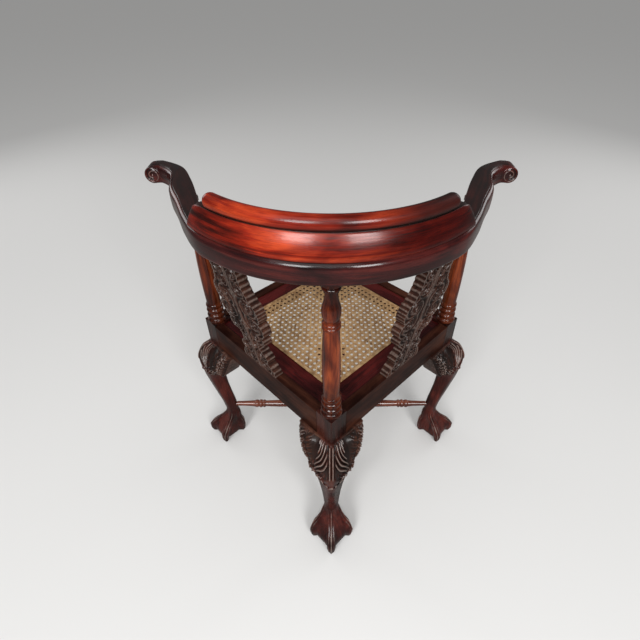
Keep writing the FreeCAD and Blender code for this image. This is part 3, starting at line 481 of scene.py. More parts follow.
# one leg: rings over the height, each reaching to the rounded square or a toe's circle, whichever
# is greater, with ridges and knuckles on the toes and the shield's carving on the outward side
def makeLeg(name, degrees):
    top = chair["postTop"] if name != "front" else chair["rebateFloor"]
    z = np.concatenate([np.linspace(0.0, 0.1, 76), np.linspace(0.1, 0.25, 56)[1:],
                        np.linspace(0.25, 0.3608, 140)[1:], np.linspace(0.3612, top, 4)])
    middle, side, corner = [values[:, None] for values in legSection(z)]
    angle = np.radians(np.concatenate([np.arange(-100, 100.1, 1.25), np.arange(102.5, 259, 2.5)]))
    zz, aa = np.meshgrid(z, angle, indexing="ij")
    reach = squareReach(aa, side, corner)
    fold = np.mod(aa + math.pi / 4, math.pi / 2) - math.pi / 4
    toe = toeReach(zz, fold)
    soft = np.clip(0.5 + 0.5 * (toe - reach) / leg["web"], 0, 1)
    joined = blend(reach, toe, soft) + leg["web"] * soft * (1 - soft)
    reach = np.where((zz < 0.1) & (toe > 0), joined, reach)
    sideways = reach * np.sin(fold)
    onToe = step(0.104 - zz, 0, 0.02) * step(zz, 0.002, 0.006)
    ridge = (bump(sideways, 0.0014) - 0.95 * bump(np.abs(sideways) - 0.0034, 0.0012)
             + 0.55 * bump(np.abs(sideways) - 0.0060, 0.0011)) * onToe
    knuckle = (bump(zz - 0.050, 0.008) + 0.8 * bump(zz - 0.028, 0.007)) * bump(sideways, 0.009)
    plinth = -bump(zz - 0.0085, 0.0014)
    reach = (reach + leg["toeRidge"] * ridge + leg["knuckle"] * knuckle * step(0.07 - zz, 0, 0.01)
             + leg["plinthGroove"] * plinth)
    # on the knee's middle the carving goes by the sideways place, on its flanks by the rail's run
    outward = np.mod(aa + math.pi, 2 * math.pi) - math.pi
    lateral = np.abs(reach * np.sin(outward))
    place = (middle + reach * np.cos(outward) - lateral) / math.sqrt(2)
    w = blend(shield["kneeStretch"] * lateral, shield["railPlace"] - place,
              step(lateral, 0.012, 0.030))
    knee = (z > 0.25) & (z < chair["railLow"])
    carving = np.zeros_like(reach)
    carving[knee] = shieldCarving(w[knee], chair["railLow"] - zz[knee])
    carving = carving * step(math.radians(94) - np.abs(outward), 0, 0.2)
    reach = reach + shield["depth"] * carving
    points = np.stack([middle + reach * np.cos(aa), reach * np.sin(aa), zz], -1)
    grain = uprightGrain(points, leg["grainMiddle"]) + (0.3 * degrees / 90, 0, 0)
    # painted highlight on the toe ridges and knuckles and painted shade in the groove over the
    # plinth, partly wear and dirt; the knee's carving gets the same from its height
    toeRelief = np.clip(0.62 * ridge + 0.4 * knuckle + plinth, -1, 1)
    relief = np.where(zz < 0.11, toeRelief, carving)
    shells = [(points, tubeFaces(len(z), len(angle)), grain, relief)]
    if name == "front":
        shells.append(frontPostLip())
    piece = putMesh("legCarved_" + name, shells, legWood, degrees)
    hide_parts("leg_" + name)


# the front post keeps only its two outer walls above the rebate: an L in plan, drawn as a prism
def frontPostLip():
    h, lip, inn = chair["half"], chair["lipIn"], chair["half"] - chair["postSide"]
    plan = np.array([(inn, lip), (lip, lip), (lip, inn), (h, inn), (h, h), (inn, h)])
    ends = chair["rebateFloor"] - 0.001, chair["railTop"]
    rings = turned(np.stack([np.c_[plan, np.full(6, z)] for z in ends]), -45)
    return rings, tubeFaces(2, 6), uprightGrain(rings, leg["grainMiddle"]), 0.0


for legName, legAngle in legTurn.items():
    makeLeg(legName, legAngle)
print("legs done")


# ---- carved ears beside the knees

ear = {
    "end": 0.119,           # where the ear runs out along the rail, from the rail's middle
    "bulge": 0.025,
    "drop": 0.080,
    # share of the way along, bulge and drop there
    "stations": [(0.0, 1.0, 1.0), (0.34, 0.94, 0.96), (0.6, 0.74, 0.7), (0.82, 0.46, 0.36),
                 (1.0, 0.14, 0.1)],
    "profile": [(0.0, 0.0), (0.14, 0.8), (0.42, 1.0), (0.72, 0.98), (1.0, 0.72)],
    "back": 0.028,
    "bridge": 0.189,        # how far its skin runs on over the knee's flank
    "dive": 0.008,          # how far it dips under the knee at last
    "around": 96,
}


# one ear in its rail's frame: the profile under the rail swells out and back in, carried along
# the rail while it shrinks; towards the leg the skin eases over to the knee's flat side,
# middle / sqrt(2) + side / 2, and then dives under it, so that the shield has no seam
def makeEar(name, degrees, side):
    postIn = chair["half"] - chair["postSide"]
    s = np.concatenate([np.linspace(ear["bridge"], postIn, 30)[:-1],
                        np.linspace(postIn, ear["end"], 70)])
    t = np.clip((postIn - s) / (postIn - ear["end"]), 0, 1)
    at, bulges, drops = np.array(ear["stations"]).T
    out = ear["bulge"] * smoothThrough(at, bulges, t)
    drop = ear["drop"] * smoothThrough(at, drops, t) + 0.3 * np.maximum(s - postIn, 0)
    v = np.linspace(0, 1, ear["around"])
    shape = smoothThrough(*np.array(ear["profile"]).T, v)
    depth = v * drop[:, None]
    ss = np.broadcast_to(s[:, None], depth.shape)
    z = chair["railLow"] - depth
    middle, squareSide = legSection(z)[:2]
    overKnee = step(ss, postIn - 0.005, postIn + 0.014)
    face = blend(chair["half"] + out[:, None] * shape, middle / math.sqrt(2) + squareSide / 2,
                 overKnee)
    carving = shieldCarving(shield["railPlace"] - ss, depth)
    face = face - ear["dive"] * step(ss, 0.1795, 0.1885) + shield["depth"] * carving
    front = np.stack([ss, face, z], -1)
    backY = np.full_like(s, chair["half"] - ear["back"])
    low = np.stack([s, backY, chair["railLow"] - drop], -1)[:, None]
    high = np.stack([s, backY, np.full_like(s, chair["railLow"])], -1)[:, None]
    rings = np.concatenate([front, low, high], 1)
    # the ear's back edges are painted a little paler, wear and painted highlight; the carving gets
    # grime and shade and wear and highlights from its height
    relief = np.concatenate([carving, np.full((len(s), 1), 0.35), np.zeros((len(s), 1))], 1)
    relief[:, ear["around"] - 1] = 0.35
    faces = tubeFaces(*rings.shape[:2])
    if side < 0:
        rings = rings * (-1, 1, 1)
    else:
        faces = flipped(faces)
    grain = uprightGrain(rings) + 0.1 * degrees / 90
    piece = putMesh("kneeEar_" + name, [(rings, faces, grain, relief)], carvedWood, degrees - 90)
    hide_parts("knee_bracket_" + name)


for railName, railAngle in railTurn.items():
    makeEar(railName + "_a", railAngle, 1)
    makeEar(railName + "_b", railAngle, -1)
print("knee ears done")


# ---- splats

splat = {
    "thick": 0.018,
    "tall": 0.296,
    "lean": 0.04802,
    "relief": 0.003,
    "rim": 0.005,
    "stem": 0.0035,
    "whirlArms": 3,
    "whirlTurn": 8.0,
    "scallop": 0.0092,
    "scallopDepth": 0.0022,
    "drawnTall": 303,       # height of the board that the rings and arcs are drawn on, in mm
    # scroll rings on each half: sideways, height, outer and inner radius, in mm
    "rings": [(22, 20, 10, 5), (21, 52, 10, 5), (17, 79, 8, 4), (26, 108, 12, 6), (34, 146, 15, 8),
              (31, 188, 15, 8), (23, 226, 12, 6), (18, 256, 10, 5), (20, 283, 9, 4)],
    # half width by height, as arcs between points: (start, through, end)
    "arcs": [((50, 9), (44, 24), (35, 36)), ((35, 36), (41, 48), (33, 60)),
             ((33, 60), (26, 76), (29, 94)), ((29, 94), (51, 104), (46, 120)),
             ((46, 120), (62, 140), (55, 163)), ((55, 163), (63, 187), (50, 212)),
             ((50, 212), (41, 236), (40, 262))],
    "rows": 330,
    "across": 128,
}
splatScale = splat["tall"] * 1000 / splat["drawnTall"]


# point on the circle through three points, by its share of the way round
def onArc(a, b, c, share):
    (ax, ay), (bx, by), (cx, cy) = a, b, c
    d = 2 * (ax * (by - cy) + bx * (cy - ay) + cx * (ay - by))
    aa, bb, cc = ax**2 + ay**2, bx**2 + by**2, cx**2 + cy**2
    ux = (aa * (by - cy) + bb * (cy - ay) + cc * (ay - by)) / d
    uy = (aa * (cx - bx) + bb * (ax - cx) + cc * (bx - ax)) / d
    r = math.hypot(ax - ux, ay - uy)
    first, last = math.atan2(ay - uy, ax - ux), math.atan2(cy - uy, cx - ux)
    through = math.atan2(by - uy, bx - ux)
    sweep = (last - first) % (2 * math.pi)
    if (through - first) % (2 * math.pi) > sweep:
        sweep -= 2 * math.pi
    turn = first + sweep * share
    return np.stack([ux + r * np.cos(turn), uy + r * np.sin(turn)], -1)


def splatHalfWidth(z):
    line = [np.array([(50.0, 0.0)])]
    for a, b, c in splat["arcs"]:
        line.append(onArc(a, b, c, np.linspace(0, 1, 24)[:-1]))
    line.append(np.array([(40.0, 262.0), (40.0, splat["drawnTall"])]))
    line = np.concatenate(line)
    heights = np.maximum.accumulate(line[:, 1] + np.arange(len(line)) * 1e-6)
    return np.interp(z * 1000 / splatScale, heights, line[:, 0]) / 1000


# for each point the scroll ring that is relatively nearest: distance from its middle line over its
# half thickness, distance from its centre, angle round it, its outer and inner radius and its hand
def nearScroll(a, z):
    rings = np.array(splat["rings"], float) / 1000
    far = np.hypot(a[..., None] - rings[:, 0], z[..., None] - rings[:, 1] * splatScale) + 1e-5
    best = np.argmin(far / rings[:, 2], -1)
    far = np.take_along_axis(far, best[..., None], -1)[..., 0]
    ring = rings[best]
    outer, inner = ring[..., 2], ring[..., 3]
    off = np.abs(far - (outer + inner) / 2) / ((outer - inner) / 2)
    around = np.arctan2(z - ring[..., 1] * splatScale, a - ring[..., 0])
    return off, far, around, outer, inner, 1 - 2 * (best % 2)


# carving over sideways x and height z: 0 on the rim, the stem and the scroll rings as in the
# solid, about -1 on the ground between; rounded ring backs cut by a turning groove, buds in the
# rings, and leaves that whirl round each ring, cos(arms angle + turn log2(distance / radius))
def splatCarving(x, z, half):
    a = np.abs(x)
    fromEdge = half - a
    off, far, around, outer, inner, hand = nearScroll(a, z)
    openEnd = step(np.cos(around - 0.6), -0.9, -0.72)
    onRing = step(1.0 - off, -0.1, 0.3) * (far < outer + 0.0006) * openEnd
    ringTop = (-0.5 * off ** 2 - 0.7 * bump(off - 0.5 * np.sin(around), 0.3)
               - 0.25 * (np.cos(6 * around) > 0.75))
    bud = bump(far, 0.0024) * (far < inner)
    winding = splat["whirlArms"] * hand * around + splat["whirlTurn"] * np.log2(far / outer)
    ground = -1.08 + 1.1 * (0.5 + 0.5 * np.cos(winding)) ** 1.6 + 0.9 * bud
    height = blend(np.clip(ground, -1.1, 0.12), ringTop, onRing)
    stem = step(splat["stem"] - a, -0.0006, 0.0008)
    height = blend(height, 0.05 - 0.7 * bump(a, 0.0009), stem)
    rim = step(splat["rim"] - fromEdge, -0.0006, 0.0010)
    rimTop = 0.1 * bump(fromEdge - 0.0014, 0.0014) - 0.6 * bump(fromEdge - 0.0034, 0.0009)
    return blend(height, rimTop, rim)


# one board: front grid carved, back grid nearly plain, joined round the scalloped edge; it slants
# outward with height, by lean over the whole height
def makeSplat(name, degrees):
    z = np.linspace(0, splat["tall"], splat["rows"])
    half = splatHalfWidth(z)
    crowding = math.pi / 2 * 0.8        # columns lie closer towards the edges
    u = np.sin(np.linspace(-1, 1, splat["across"]) * crowding) / math.sin(crowding)
    pitch = splat["scallop"] * (1 + 0.25 * np.sin(2 * math.pi * z / 0.11))
    ribs = np.abs(np.sin(math.pi * np.cumsum((z[1] - z[0]) / pitch)))
    ends = step(z, 0.0, 0.006) * step(splat["tall"] - z, 0.0, 0.030)
    x = (half - splat["scallopDepth"] * (1 - ribs ** 0.7) * ends)[:, None] * u
    zz = np.broadcast_to(z[:, None], x.shape)
    face = chair["half"] + splat["lean"] / splat["tall"] * zz
    carving = splatCarving(half[:, None] * u, zz, half[:, None])
    carving = carving * (step(zz, 0.0, 0.003) * step(splat["tall"] - zz, 0.0, 0.003))
    front = np.stack([x, face + splat["relief"] * carving, chair["railTop"] + zz], -1)
    plain = 0.25 * (step(0.004 - (half[:, None] - np.abs(x)), 0, 0.001) - 1)
    back = np.stack([x, face - splat["thick"] - splat["relief"] * plain, chair["railTop"] + zz], -1)
    rings = np.concatenate([front, back[:, ::-1]], 1)
    # painted shade and highlight: the sunk ground gets grime and shade, the raised tops wear and
    # highlights, the back is darker away from its edges, and on the scalloped edges the rib crests
    # get a painted highlight and the hollows painted shade
    relief = np.concatenate([np.clip(0.62 + 1.5 * carving, -1, 1), (plain * 2)[:, ::-1]], 1)
    edges = [0, len(u) - 1, len(u), -1]
    relief[:, edges] = 0.62 * (2 * ribs[:, None] - 1)
    grain = uprightGrain(rings) + 0.17 * degrees / 90
    shell = (rings, flipped(tubeFaces(*rings.shape[:2])), grain, relief)
    piece = putMesh("splatCarved_" + name, [shell], carvedWood, degrees - 90)
    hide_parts("splat_" + name)


makeSplat("back_left", railTurn["back_left"])
makeSplat("back_right", railTurn["back_right"])
print("splats done")


# ---- arms

arm = {
    "end": 0.33702,
    "front": 0.067,
    "scrollRadius": 0.0158,
    "scrollWidth": 0.036,
    "shoulder": 0.0034,     # rounding between the scroll's face and its back
    "spiralTurns": 2.4,
    "tipRise": 0.0046,      # the underside thins towards the scroll by this much
    "stations": 260,
    "lip": 0.0095,
    "footRound": 0.0043,
    "quirk": 0.0009,        # depth of the thin groove behind the lip
}


def ringPoint(radius, degrees):
    a = math.radians(degrees)
    return (radius * math.sin(a), radius * math.cos(a))


# plan lines of the left arm's outer and inner side, from the back's middle to the scroll,
# as smooth curves through points on the ring and on the outward sweep
def armPlan(stations):
    outer, inner, tip = chair["armOuter"], chair["armInner"], arm["end"] - 0.0136
    near, far = -arm["front"] + arm["scrollWidth"] / 2, -arm["front"] - arm["scrollWidth"] / 2
    out = [ringPoint(outer, d) for d in (0, 9, 18, 27, 36, 46)]
    out += [ringPoint(outer - 0.007, 58), ringPoint(outer - 0.008, 70),
            ringPoint(outer + 0.004, 82), (outer + 0.017, -0.020), (tip, near), (arm["end"], near)]
    inn = [ringPoint(inner, d) for d in (0, 9, 18, 27, 36, 46, 56, 66, 74)]
    inn += [(inner + 0.016, 0.002), (inner + 0.046, -0.054), (tip, far), (arm["end"], far)]

    def resample(line):
        line = np.array(line)
        at = runAlong(line)
        fine = smoothThrough(at, line, np.linspace(0, at[-1], 1200))
        reach = runAlong(fine)
        even = np.linspace(0, reach[-1], stations)
        return np.stack([np.interp(even, reach, fine[:, i]) for i in (0, 1)], -1)

    return resample(out), resample(inn)


# the arm: a profile between the inner and the outer line, with a rounded foot, a hollow side, a
# round lip and a thin groove behind it, carried along the horseshoe
def makeArm(name, mirror):
    outLine, inLine = armPlan(arm["stations"])
    low, high = chair["armBottom"], chair["armTop"]
    width = np.hypot(*(outLine - inLine).T)
    unit = ((outLine - inLine) / width[:, None])[:, None]
    # distance in from the outer line and height, from the outer lower corner up to the flat top
    r, b = arm["footRound"], arm["quirk"]
    turn = np.linspace(-90, 0, 9) * math.pi / 180
    foot = [(r - r * math.cos(t), low + r + r * math.sin(t)) for t in turn]
    side = [(-0.0003, low + 0.010), (-0.0005, low + 0.016), (-0.0003, low + 0.0225)]
    r = arm["lip"]
    turn = np.linspace(0, 90, 9) * math.pi / 180
    lip = [(r - r * math.cos(t), high - r + r * math.sin(t)) for t in turn]
    groove = [(0.0102, high - b * 0.4), (0.0109, high - b), (0.0116, high - b * 0.4),
              (0.0122, high)]
    outer = np.array(foot + side + lip + groove)
    # the same from the inner line, from the top down
    inset = np.array([(0.0012, high), (0.0003, high - 0.0006), (0, high - 0.0018),
                      (0, low + 0.0018), (0.0003, low + 0.0006), (0.0012, low)])
    plan = np.concatenate([outLine[:, None] - unit * outer[:, :1],
                           inLine[:, None] + unit * inset[:, :1]], 1)
    z = np.concatenate([outer[:, 1], inset[:, 1]])
    rise = arm["tipRise"] * step(np.linspace(0, 1, arm["stations"]), 0.8, 0.97)
    height = z + rise[:, None] * (high - z) / (high - low)
    rings = np.concatenate([plan, height[..., None]], -1)
    reach = runAlong((outLine + inLine) / 2)
    inward = np.concatenate([np.broadcast_to(outer[:, 0], (len(reach), len(outer))),
                             width[:, None] - inset[:, 0]], 1)
    grain = np.stack([np.broadcast_to(reach[:, None], inward.shape), inward,
                      np.broadcast_to(z, inward.shape)], -1)
    relief = np.zeros(len(z))
    relief[len(outer) - 3:len(outer) + 1] = -0.62      # painted shade: the flat top is darkened
    shells = [(rings, tubeFaces(*rings.shape[:2]), grain, relief), armScroll()]
    if mirror:
        mirrorX = np.array([-1, 1, 1])
        shells = [(p * mirrorX, flipped(f), g * mirrorX, r) for p, f, g, r in shells]
    piece = putMesh("armScrolled_" + name, shells, armWood)
    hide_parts("arm_" + name)


# scroll at the tip: a short roll across the arm with rounded shoulders; on each round face a
# spiral ridge, cos(angle - 2 pi turns rho), and a boss as its eye; faint pale petals round the rim
# are painted only, wear and painted highlight with no carving under them
def armScroll():
    radius, width, shoulder = arm["scrollRadius"], arm["scrollWidth"], arm["shoulder"]
    cx, cy, cz = arm["end"] + 0.0012, -arm["front"], chair["armTop"] - radius
    turn = np.radians(np.linspace(0, 90, 10))
    share = np.concatenate([np.linspace(0.02, 1 - shoulder / radius, 46),
                            1 - shoulder / radius * (1 - np.sin(turn))])
    half = np.concatenate([np.full(46, width / 2), width / 2 - shoulder * (1 - np.cos(turn))])
    share, half = np.concatenate([share, share[::-1]]), np.concatenate([half, -half[::-1]])[:, None]
    around = np.linspace(0, 2 * math.pi, 120, endpoint=False)
    rho, aa = np.meshgrid(share, around, indexing="ij")
    flat = step(0.80 - rho, -0.02, 0.04)
    spiral = np.cos(aa - 2 * math.pi * arm["spiralTurns"] * rho)
    height = flat * np.clip(0.9 * spiral * step(rho, 0.12, 0.2) + 1.2 * bump(rho, 0.13), -1, 1)
    petalGlints = (1 - flat) * np.abs(np.cos(7 * aa)) ** 0.5
    x = cx + rho * radius * np.cos(aa)
    z = cz + rho * radius * np.sin(aa)
    y = cy + half + np.sign(half) * (0.0012 * height - 0.0012 * flat)
    rings = np.stack([x, y, z], -1)
    return rings, tubeFaces(*rings.shape[:2]), rings, np.clip(height + 0.3 * petalGlints, -1, 1)


makeArm("left", False)
makeArm("right", True)
print("arms done")


# ---- crest rail

crest = {
    "outer": 0.27402,
    "inner": 0.23902,
    "band": 0.038,
    "lean": 0.014,
    "roll": 0.012,
    "bandEnd": 51.0,
    "rollEnd": 41.5,
    "endRound": 8.0,        # degrees over which the stations crowd at each end
    "middle": 0.257,        # radius at which the corners are measured
    "cornerLong": 0.030,    # the band's top drops over this length at each end
    "cornerDrop": 0.016,
    "grainRadius": 0.26,
    "steps": 240,
}


# the crest: a swelling band and a thick roll, both profiles swung about the chair's axis; the
# band's top drops along a quarter of an ellipse at each end, the roll ends in half a ball
def makeCrest():
    low, band = chair["armTop"], crest["band"]
    out, lean, inner = crest["outer"], crest["lean"], crest["inner"]
    belly = onArc((out, low + band * 0.1), (out - lean * 0.32, low + band * 0.52),
                  (out - lean, low + band), np.linspace(0, 0.93, 18))
    quirk = belly[-1] + np.array([(-0.0006, 0.0004), (-0.0042, -0.0014), (-0.0060, 0.0020)])
    foot = np.array([(inner, low), (out - 0.0014, low - 0.0012), (out - 0.0003, low - 0.0008),
                     (out, low)])
    back = np.array([(inner + 0.0028, low + band), (inner + 0.0008, low + band * 0.5)])
    profile = np.concatenate([foot, belly, quirk, back])
    # painted shade: the thin groove under the roll and the crest's foot on the arm are darkened
    grimeAndShade = np.zeros(len(profile))
    belowRoll = len(foot) + len(belly) - 1
    grimeAndShade[belowRoll:belowRoll + 4] = (-0.2, -0.7, -1, -1)
    grimeAndShade[1:4] = (-1, -0.7, -0.2)
    end = math.radians(crest["bandEnd"])
    crowd = 1 - np.cos(np.linspace(0, math.pi / 2, 26))
    near = end - math.radians(crest["endRound"]) * crowd
    straight = np.linspace(-near[-1], near[-1], crest["steps"])[1:-1]
    swing = np.concatenate([-near, straight, near[::-1]])
    left = (end - np.abs(swing)) * crest["middle"] / crest["cornerLong"]
    drop = crest["cornerDrop"] * (1 - np.sqrt(1 - np.clip(1 - left, 0, 1) ** 2))
    z = low + (profile[:, 1] - low) * (1 - drop / band)[:, None]
    r = np.broadcast_to(profile[:, 0], z.shape)
    ss = np.broadcast_to(swing[:, None], z.shape)
    shells = [swungShell(r, ss, z, 0.0, grimeAndShade)]

    radius = crest["roll"]
    centreR, centreZ = out - lean - radius * 0.75, low + band + radius * 0.6
    cap = np.radians(np.linspace(0, 84, 14))
    rollEnd = math.radians(crest["rollEnd"])
    capSwing = rollEnd + radius * np.sin(cap) / centreR
    straight = np.linspace(-rollEnd, rollEnd, crest["steps"])[1:-1]
    swing = np.concatenate([-capSwing[::-1], straight, capSwing])
    capSize = np.cos(cap)
    size = radius * np.concatenate([capSize[::-1], np.ones(len(straight)), capSize])[:, None]
    around = np.linspace(0, 2 * math.pi, 48, endpoint=False)
    ss, aa = np.meshgrid(swing, around, indexing="ij")
    # painted shade along the roll's underside over the groove, and towards the -X end, where it is
    # partly the wood's own tone
    fromShadedUnderside = np.mod(aa + math.pi * 0.25, 2 * math.pi) - 0.12
    relief = -bump(fromShadedUnderside, 0.28) - 0.55 * step(-ss, 0.15, 0.6)
    r, z = centreR + size * np.cos(aa), centreZ + size * np.sin(aa)
    shells.append(swungShell(r, ss, z, 1.3, relief))
    piece = putMesh("crestPolished", shells, crestWood)
    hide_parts("crest_rail")


# a shell from radius, swing angle and height, with grain that follows the ring
def swungShell(r, swing, z, grainStart, relief):
    rings = np.stack([r * np.sin(swing), r * np.cos(swing), z], -1)
    grain = np.stack([swing * crest["grainRadius"] + grainStart, r, z], -1)
    return rings, flipped(tubeFaces(*rings.shape[:2])), grain, relief


makeCrest()
print("crest done")


# ---- cane seat

cane = {
    "half": 0.146,
    "z": 0.4230,            # middle of the weave
    "pitch": 0.0121,
    "strand": 0.0031,
    "pairGap": 0.0033,      # between the middles of the two strands of a pair
    "thick": 0.0008,
    "straw": (0.36, 0.205, 0.088),
    "strawPale": (0.54, 0.36, 0.19),
    "strawDark": (0.15, 0.075, 0.030),
}


def caneMaterial(name):
    material, tree, shader = newMaterial(name)
    along = attributeNode(tree, "grain", "Vector")
    fibre = noiseNode(tree, along, (25, 2600, 2600), 3.0, 0.6)
    patch = noiseNode(tree, along, (38, 90, 90), 3.0, 0.6)
    base = rampNode(tree, patch, (0.3, cane["strawDark"]), (0.46, cane["straw"]),
                    (0.64, cane["strawPale"]))
    lines = rampNode(tree, fibre, (0.3, (0.72, 0.68, 0.6)), (0.6, 1.0))
    base = mixNode(tree, "MULTIPLY", 0.8, base, lines)
    paintShader(tree, shader, base, rampNode(tree, fibre, (0.3, 0.5), (0.7, 0.36)))
    bumpOn(tree, shader, fibre, 0.3, 0.0003)
    return material


caneStraw = caneMaterial("caneStraw")


# flat strands as ribbons of rectangular section: middle lines [strands, steps, 3] with the same
# sideways direction, crowned a little
def ribbons(lines, sideways, width, offset):
    count, steps = lines.shape[:2]
    thick = cane["thick"]
    profile = np.array([(-0.5, -0.4), (0.5, -0.4), (0.5, 0.25), (0.0, 0.5), (-0.5, 0.25)])
    across, up = profile[:, :1] * width, profile[:, 1:] * thick
    rings = lines[:, :, None, :] + across * np.asarray(sideways) + up * np.array([0, 0, 1.0])
    one = tubeFaces(steps, 5)
    faces = [[i * steps * 5 + j for j in face] for i in range(count) for face in one]
    length = np.cumsum(np.linalg.norm(np.diff(lines, axis=1), axis=2), 1)
    length = np.concatenate([np.zeros((count, 1)), length], 1)[:, :, None]
    strand = np.arange(count)[:, None, None]
    shape = rings.shape[:3]
    grain = np.stack([np.broadcast_to(length + strand * 0.37, shape),
                      np.broadcast_to(across[:, 0] + strand * 0.011, shape),
                      np.broadcast_to(up[:, 0], shape)], -1) + offset
    return rings, faces, grain, 0.0


# six-way weave: pairs of strands both ways and single diagonals both ways; the pairs' height
# follows a cosine, so that they pass over and under each other
def makeCane():
    pitch, z, thick = cane["pitch"], cane["z"], cane["thick"]
    cells = int(cane["half"] * 2 / pitch)
    at = (np.arange(cells) - (cells - 1) / 2) * pitch
    reach = cane["half"] - 0.002
    t = np.linspace(-reach, reach, cells * 4 + 1)
    wave = thick * 0.5 * np.cos(math.pi * (t - at[0]) / pitch)
    pair = np.concatenate([at - cane["pairGap"] / 2, at + cane["pairGap"] / 2])[:, None]
    under = np.where(np.arange(len(pair)) < cells, 1, -1)[:, None]
    a, b = np.broadcast_arrays(t, pair)
    shells = [ribbons(np.stack([a, b, z - wave * under], -1), (0, 1, 0), cane["strand"], 0.0),
              ribbons(np.stack([b, a, z + wave * under], -1), (-1, 0, 0), cane["strand"], 3.1)]
    # diagonals run through the corners of the pairs' squares, cut where they reach the edge
    s, width = math.sqrt(0.5), cane["strand"] * 0.92
    for way in (1, -1):
        for c in np.arange(-2 * cells, 2 * cells + 1) * pitch + pitch / 2:
            low, high = max(-reach, c - reach), min(reach, c + reach)
            if high - low < 0.01:
                continue
            x = np.linspace(low, high, max(4, int((high - low) / pitch * 4)))
            height = z + thick * 0.55 * way + 0.2 * thick * np.cos(2 * math.pi * x / pitch)
            lines = np.stack([x, way * (x - c), height], -1)[None]
            shells.append(ribbons(lines, (-way * s, s, 0), width, 5.0 + c * 31 + way))
    piece = putMesh("caneWeave", shells, caneStraw, 45, body="drop_in_seat", sharp=30)
    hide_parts("cane_panel")


makeCane()
print("cane done")


# ---- CAD pieces that keep their shape

def paint(material, *names):
    for name in names:
        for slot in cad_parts[name].material_slots:
            slot.material = material


def steelMaterial():
    material, tree, shader = newMaterial("screwSteel")
    grime = noiseNode(tree, objectPlace(tree), (300, 300, 300), 4.0, 0.6)
    base = rampNode(tree, grime, (0.3, (0.16, 0.13, 0.1)), (0.65, (0.5, 0.47, 0.43)))
    paintShader(tree, shader, base, rampNode(tree, grime, (0.3, 0.6), (0.7, 0.35)))
    shader.inputs["Metallic"].default_value = 1.0
    return material


def bindingMaterial():
    material, tree, shader = newMaterial("caneStripStraw")
    patch = noiseNode(tree, objectPlace(tree), (70, 70, 70), 3.0, 0.6)
    base = rampNode(tree, patch, (0.3, cane["strawDark"]), (0.5, cane["straw"]),
                    (0.7, cane["strawPale"]))
    paintShader(tree, shader, base, 0.45)
    return material


paint(columnWood, "column_left", "column_back", "column_right")
paint(stretcherWoodX, "stretcher_side")
paint(stretcherWoodY, "stretcher_long")
paint(railWoodA, "rail_back_left", "rail_front_right")
paint(railWoodB, "rail_back_right", "rail_front_left")
paint(seatWoodA, "seat_stile_back_left", "seat_stile_front_right")
paint(seatWoodB, "seat_rail_back_right", "seat_rail_front_left")
paint(beechWood, *["corner_block_" + end for end in legTurn])
paint(steelMaterial(), "corner_screws", "crest_screws")
paint(bindingMaterial(), "cane_binding")
print("plain pieces painted")


# ---- studio

studio = {
    "floorHalf": 40.0,
    "floorColour": (0.67, 0.665, 0.655),
    "floorInWood": (0.26, 0.25, 0.24),      # what polished wood gets back from the floor
    "worldColour": (0.80, 0.80, 0.80),
    "ambient": 0.54,
    "mirrored": 0.12,       # what polished wood sees of the room
    "behind": 0.9,          # what the camera sees past the floor
}
# place, what it points at, width, height, power
lamps = {
    "softboxLeft": ((1.0, 2.5, 2.15), (0, 0.2, 0.7), 0.95, 1.15, 54),
    "softboxRight": ((-1.0, 2.5, 2.15), (0, 0.2, 0.7), 0.95, 1.15, 54),
    "overhead": ((0.5, 1.5, 3.2), (0, 0, 0.3), 2.2, 1.8, 15),
    "fillLeft": ((2.3, -1.7, 1.6), (0, 0, 0.5), 1.3, 1.3, 12),
    "fillRight": ((-2.3, -1.7, 1.6), (0, 0, 0.5), 1.3, 1.3, 12),
}
shot = {
    "place": (0, 0.741, 1.064),
    "tilt": 49.1,
    "lens": 24.02,
    "shift": -0.0177,
}


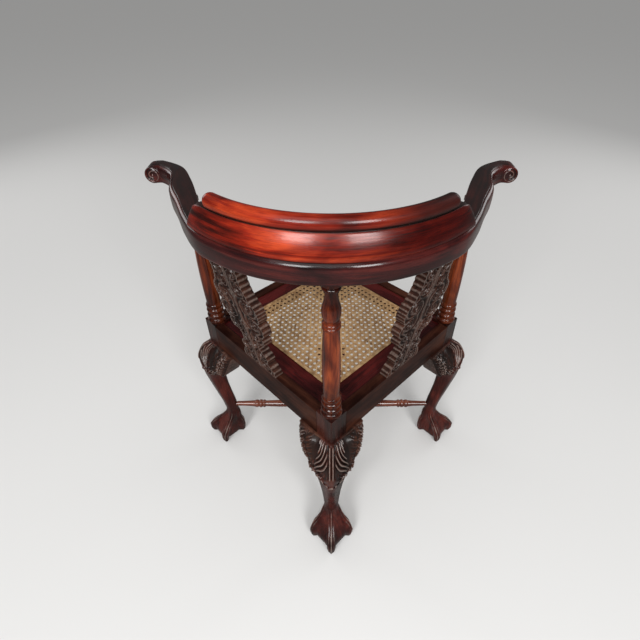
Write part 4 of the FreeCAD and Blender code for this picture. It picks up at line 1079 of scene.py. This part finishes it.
def makeFloor():
    s = studio["floorHalf"]
    floor = bpy.data.meshes.new("floor")
    floor.from_pydata([(-s, -s, 0), (s, -s, 0), (s, s, 0), (-s, s, 0)], [], [(0, 1, 2, 3)])
    material, tree, shader = newMaterial("floorPale")
    rays = addNode(tree, "LightPath").outputs
    straight = mathNode(tree, "MAXIMUM", rays["Is Camera Ray"], rays["Is Transmission Ray"])
    colour = mixNode(tree, "MIX", straight, studio["floorInWood"], studio["floorColour"])
    paintShader(tree, shader, colour, 0.9)
    shader.inputs["Specular IOR Level"].default_value = 0.0
    floor.materials.append(material)
    thing = putObject("floor", floor)


# the world's strength: ambient, changed where the camera or polished wood looks at it
def makeWorld():
    world = bpy.data.worlds.new("studioWorld")
    bpy.context.scene.world = world
    world.use_nodes = True
    tree = world.node_tree
    tree.nodes.clear()
    rays = addNode(tree, "LightPath").outputs
    ambient = studio["ambient"]
    seen = mathNode(tree, "MULTIPLY", rays["Is Camera Ray"], studio["behind"] - ambient)
    shiny = mathNode(tree, "MULTIPLY", rays["Is Glossy Ray"], studio["mirrored"] - ambient)
    strength = mathNode(tree, "ADD", mathNode(tree, "ADD", seen, shiny), ambient)
    background = addNode(tree, "Background", Color=studio["worldColour"], Strength=strength)
    addNode(tree, "OutputWorld", Surface=background.outputs[0])


def areaLight(name, place, target, sizeX, sizeY, power):
    data = bpy.data.lights.new(name, "AREA")
    data.shape = "RECTANGLE"
    data.size, data.size_y, data.energy = sizeX, sizeY, power
    lamp = putObject(name, data)
    lamp.location = place
    lamp.rotation_euler = (Vector(target) - Vector(place)).to_track_quat("-Z", "Y").to_euler()


makeFloor()
makeWorld()
for lampName, setting in lamps.items():
    areaLight(lampName, *setting)

camera = putObject("camera", bpy.data.cameras.new("camera"))
camera.data.lens = shot["lens"]
camera.data.sensor_width = 36.0
camera.data.shift_x = shot["shift"]
camera.data.clip_end = 200
camera.location = shot["place"]
camera.rotation_euler = (math.radians(shot["tilt"]), 0, math.radians(180))
bpy.context.scene.camera = camera
bpy.context.scene.view_settings.view_transform = "Standard"
print("studio ready")

bpy.context.view_layer.update()
